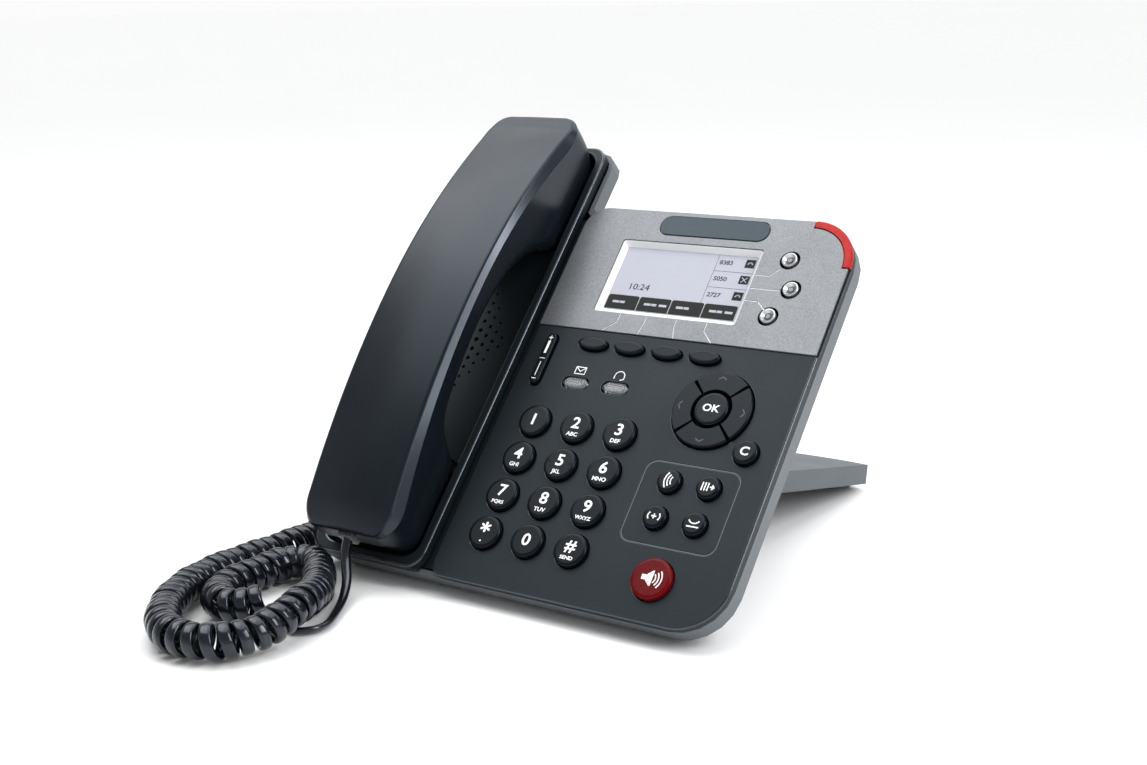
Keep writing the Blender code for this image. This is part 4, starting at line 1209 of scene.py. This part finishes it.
def make_handset():
    back = drawn_out("handset_back", back_ring, handset_stations(HANDSET_LOW, HANDSET_HIGH), shape_back)
    paint(back, "handset")
    polish(back, 0.0, 60.0, "handset_edge", 0.55)
    smooth(settle(back), 30.0)
    hand_over(back, "handset", "handset", "handset_outer_shell")
    inner = drawn_out("handset_grip", inner_ring, handset_stations(-8.7, 199.5), shape_inner)
    cutters = [block("jack", (-79.1, -16.5, -70.9, 2.1), 9.8, 16.6)]
    for row in range(-3, 4):
        for column in range(-3, 4):
            if row * row + column * column > 10:
                continue
            place = (HANDSET_U + column * 3.4, 167.0 + row * 3.4)
            cutters.append(drum("ear_hole", place, 0.8, -12.0, -6.7, 12))
    for column in (-1, 0, 1):
        cutters.append(pill("mouth_hole", (HANDSET_U + column * 4.0, 18.0), 0.6, 3.0, -12.0, -6.7))
    cut(inner, cutters)
    paint(inner, "handset")
    smooth(settle(inner), 32.0)
    hand_over(inner, "handset", "handset", "handset_inner_shell")


# ---- stage ------------------------------------------------------------------------------
def area_light(name, place, target, size, power, colour):
    light = bpy.data.lights.new(name, "AREA")
    light.shape = "RECTANGLE"
    light.size, light.size_y = size
    light.energy = power
    light.color = colour
    item = add(name, light)
    item.location = place
    item.rotation_euler = (Vector(target) - Vector(place)).to_track_quat("-Z", "Y").to_euler()


# name, place, height it aims at, size, power and colour, in metres and watts
LAMPS = (
    ("key_light", (-0.5, -0.2, 1.1), 0.05, (0.9, 0.9), 5.0, (1.0, 1.0, 1.0)),
    ("side_light", (1.0, -0.15, 0.75), 0.05, (0.35, 0.8), 5.0, (1.0, 1.0, 1.0)),
    ("strip_light", (0.9, 0.05, 0.75), 0.1, (0.16, 0.9), 6.0, (1.0, 1.0, 1.0)),
    ("back_light", (0.2, 1.0, 0.8), 0.1, (1.2, 0.5), 5.0, (0.95, 0.98, 1.0)),
)


def make_stage(stage):
    deselect()
    bpy.ops.mesh.primitive_plane_add(size=60.0, location=(0.0, 0.0, -0.0005))
    floor = fresh("floor")
    made, tree, shader, place = start_finish("floor_paper")
    shader.inputs["Base Color"].default_value = (*stage.floor_colour, 1.0)
    broad = grain_node(tree, place, 3.0)
    tree.links.new(spread_node(tree, broad, 0.3, 0.38), shader.inputs["Roughness"])
    floor.data.materials.append(made)
    world = bpy.data.worlds.new("soft_room")
    world.use_nodes = True
    world.node_tree.nodes["Background"].inputs["Color"].default_value = (1.0, 1.0, 1.0, 1.0)
    tree = world.node_tree
    direction = tree.nodes.new("ShaderNodeTexCoord")
    split = tree.nodes.new("ShaderNodeSeparateXYZ")
    tree.links.new(direction.outputs["Generated"], split.inputs["Vector"])
    fade = tree.nodes.new("ShaderNodeMapRange")
    fade.inputs["From Min"].default_value = 0.02
    fade.inputs["From Max"].default_value = 0.45
    fade.inputs["To Min"].default_value = stage.wall_light
    fade.inputs["To Max"].default_value = stage.room_light
    tree.links.new(split.outputs["Z"], fade.inputs["Value"])
    tree.links.new(fade.outputs["Result"], tree.nodes["Background"].inputs["Strength"])
    bpy.context.scene.world = world
    bpy.context.scene.view_settings.view_transform = "Standard"
    sun = bpy.data.lights.new("overhead_light", "SUN")
    sun.energy = 2.25 * stage.lamp_power
    sun.angle = math.radians(70.0)
    above = add("overhead_light", sun)
    above.rotation_euler = (math.radians(-12.0), math.radians(-14.0), 0.0)
    for name, place, height, size, power, colour in LAMPS:
        area_light(name, place, (0.0, 0.0, height), size, power * stage.lamp_power, colour)


def make_camera(stage):
    lens = bpy.data.cameras.new("camera")
    lens.lens = stage.lens
    lens.sensor_width = 36.0
    lens.clip_start = 0.01
    camera = add("camera", lens)
    camera.location = (0.35569, -0.56597, 0.23026)
    camera.rotation_euler = [math.radians(angle) for angle in (76.409, 1.166, 34.239)]
    bpy.context.scene.camera = camera


# ---- settings ---------------------------------------------------------------------------
def colour_setting(name, words, value):
    return bpy.props.FloatVectorProperty(
        name=name, description=words, default=value, subtype="COLOR", min=0.0, max=1.0
    )


def length_setting(name, words, value):
    return bpy.props.FloatProperty(name=name, description=words, default=value, unit="LENGTH")


def strength_setting(name, words, value):
    return bpy.props.FloatProperty(name=name, description=words, default=value, min=0.0)


class PhoneLooks(bpy.types.PropertyGroup):
    housing_colour: colour_setting("Housing", "Colour of the key panel and cradle", (0.0065, 0.0095, 0.0118))
    wall_colour: colour_setting("Side wall", "Colour of the rear shell", (0.095, 0.105, 0.115))
    silver_colour: colour_setting("Upper plate", "Colour of the silver plate", (0.135, 0.142, 0.150))
    badge_colour: colour_setting("Badge", "Colour of the blank badge", (0.026, 0.044, 0.056))
    key_colour: colour_setting("Keys", "Colour of the key caps", (0.0022, 0.0032, 0.0045))
    handset_colour: colour_setting("Handset", "Colour of the handset", (0.0042, 0.0062, 0.0092))
    lamp_colour: colour_setting("Lamp", "Colour of the message lamp", (0.40, 0.008, 0.003))
    screen_colour: colour_setting("Screen", "Colour of the blank display", (0.325, 0.328, 0.392))
    cord_colour: colour_setting("Cord", "Colour of the cord", (0.004, 0.005, 0.008))
    stand_colour: colour_setting("Stand", "Colour of the stand", (0.043, 0.051, 0.059))


class PhoneCord(bpy.types.PropertyGroup):
    wide: length_setting("Cord width", "Width of the flat cord", 0.0048)
    thick: length_setting("Cord thickness", "Thickness of the flat cord", 0.0025)
    coil_radius: length_setting("Coil radius", "Outer radius of the curly part", 0.0070)
    pitch: length_setting("Pitch", "Distance from turn to turn", 0.0055)


class PhoneStage(bpy.types.PropertyGroup):
    floor_colour: colour_setting("Floor", "Colour of the floor", (0.93, 0.935, 0.94))
    room_light: strength_setting("Room light", "Strength of the light overhead", 0.4)
    wall_light: strength_setting("Wall light", "Strength of the light near the floor", 0.97)
    lamp_power: strength_setting("Lamps", "Strength of the studio lamps against the usual", 1.0)
    lens: bpy.props.FloatProperty(
        name="Lens", description="Focal length of the camera, millimetres", default=50.23, min=10.0
    )


def start_scene():
    scene = bpy.context.scene
    make_camera(scene.phone_stage)
    make_stage(scene.phone_stage)
    FINISHES.update(make_finishes(scene.phone_looks))


def make_screen_keys():
    make_soft_keys()
    make_line_keys()


class PHONE_OT_stage(bpy.types.Operator):
    """Add the floor, the lights and the camera, and mix the finishes"""
    bl_idname = "phone.stage"
    bl_label = "Stage"

    def execute(self, context):
        start_scene()
        return {"FINISHED"}


class PHONE_OT_cords(bpy.types.Operator):
    """Add the straight lead and the curly cord"""
    bl_idname = "phone.cords"
    bl_label = "Cords"

    def execute(self, context):
        make_cords()
        return {"FINISHED"}


class PHONE_OT_shell(bpy.types.Operator):
    """Add the rear shell, stand, feet, ports and the parts inside"""
    bl_idname = "phone.shell"
    bl_label = "Shell"

    def execute(self, context):
        make_shell()
        return {"FINISHED"}


class PHONE_OT_front_cover(bpy.types.Operator):
    """Add the key panel"""
    bl_idname = "phone.front_cover"
    bl_label = "Front cover"

    def execute(self, context):
        make_front_cover()
        return {"FINISHED"}


class PHONE_OT_faceplate(bpy.types.Operator):
    """Add the upper plate, its badge and the corner lamp"""
    bl_idname = "phone.faceplate"
    bl_label = "Upper plate"

    def execute(self, context):
        make_faceplate()
        return {"FINISHED"}


class PHONE_OT_screen(bpy.types.Operator):
    """Add the display and its bezel"""
    bl_idname = "phone.screen"
    bl_label = "Screen"

    def execute(self, context):
        make_screen()
        return {"FINISHED"}


class PHONE_OT_cradle(bpy.types.Operator):
    """Add the cradle with its loudspeaker grille"""
    bl_idname = "phone.cradle"
    bl_label = "Cradle"

    def execute(self, context):
        make_cradle()
        return {"FINISHED"}


class PHONE_OT_number_keys(bpy.types.Operator):
    """Add the twelve dialling keys"""
    bl_idname = "phone.number_keys"
    bl_label = "Dialling keys"

    def execute(self, context):
        make_number_keys()
        return {"FINISHED"}


class PHONE_OT_screen_keys(bpy.types.Operator):
    """Add the keys under and beside the display"""
    bl_idname = "phone.screen_keys"
    bl_label = "Screen keys"

    def execute(self, context):
        make_screen_keys()
        return {"FINISHED"}


class PHONE_OT_arrow_keys(bpy.types.Operator):
    """Add the navigation ring and its centre key"""
    bl_idname = "phone.arrow_keys"
    bl_label = "Arrow keys"

    def execute(self, context):
        make_arrow_keys()
        return {"FINISHED"}


class PHONE_OT_function_keys(bpy.types.Operator):
    """Add the service keys, the cancel key and the loudspeaker key"""
    bl_idname = "phone.function_keys"
    bl_label = "Service keys"

    def execute(self, context):
        make_function_keys()
        return {"FINISHED"}


class PHONE_OT_volume(bpy.types.Operator):
    """Add the volume rocker"""
    bl_idname = "phone.volume"
    bl_label = "Volume rocker"

    def execute(self, context):
        make_volume_rocker()
        return {"FINISHED"}


class PHONE_OT_lenses(bpy.types.Operator):
    """Add the indicator lenses and the icons above them"""
    bl_idname = "phone.lenses"
    bl_label = "Indicator lenses"

    def execute(self, context):
        make_lenses()
        return {"FINISHED"}


class PHONE_OT_handset(bpy.types.Operator):
    """Add the handset's two shells"""
    bl_idname = "phone.handset"
    bl_label = "Handset"

    def execute(self, context):
        make_handset()
        return {"FINISHED"}


OPERATORS = (
    PHONE_OT_stage, PHONE_OT_cords, PHONE_OT_shell, PHONE_OT_front_cover, PHONE_OT_faceplate, PHONE_OT_screen,
    PHONE_OT_cradle, PHONE_OT_number_keys, PHONE_OT_screen_keys, PHONE_OT_arrow_keys, PHONE_OT_function_keys,
    PHONE_OT_volume, PHONE_OT_lenses, PHONE_OT_handset,
)
GROUPS = {"phone_looks": PhoneLooks, "phone_cord": PhoneCord, "phone_stage": PhoneStage}


class PHONE_PT_panel(bpy.types.Panel):
    """The phone's settings and the steps that build it"""
    bl_idname = "PHONE_PT_panel"
    bl_label = "Desk phone"
    bl_space_type = "VIEW_3D"
    bl_region_type = "UI"
    bl_category = "Desk phone"

    def draw(self, context):
        for group in GROUPS:
            settings = getattr(context.scene, group)
            box = self.layout.box()
            for name in settings.__annotations__:
                box.prop(settings, name)
        for step in OPERATORS:
            self.layout.operator(step.bl_idname)


def register():
    for group in GROUPS.values():
        bpy.utils.register_class(group)
    for name, group in GROUPS.items():
        setattr(bpy.types.Scene, name, bpy.props.PointerProperty(type=group))
    for step in OPERATORS:
        bpy.utils.register_class(step)
    bpy.utils.register_class(PHONE_PT_panel)


def unregister():
    bpy.utils.unregister_class(PHONE_PT_panel)
    for step in reversed(OPERATORS):
        bpy.utils.unregister_class(step)
    for name in GROUPS:
        delattr(bpy.types.Scene, name)
    for group in GROUPS.values():
        bpy.utils.unregister_class(group)


def main():
    register()
    for step in OPERATORS:
        name = step.bl_idname.split(".")[1]
        getattr(bpy.ops.phone, name)()


if __name__ == "__main__":
    main()
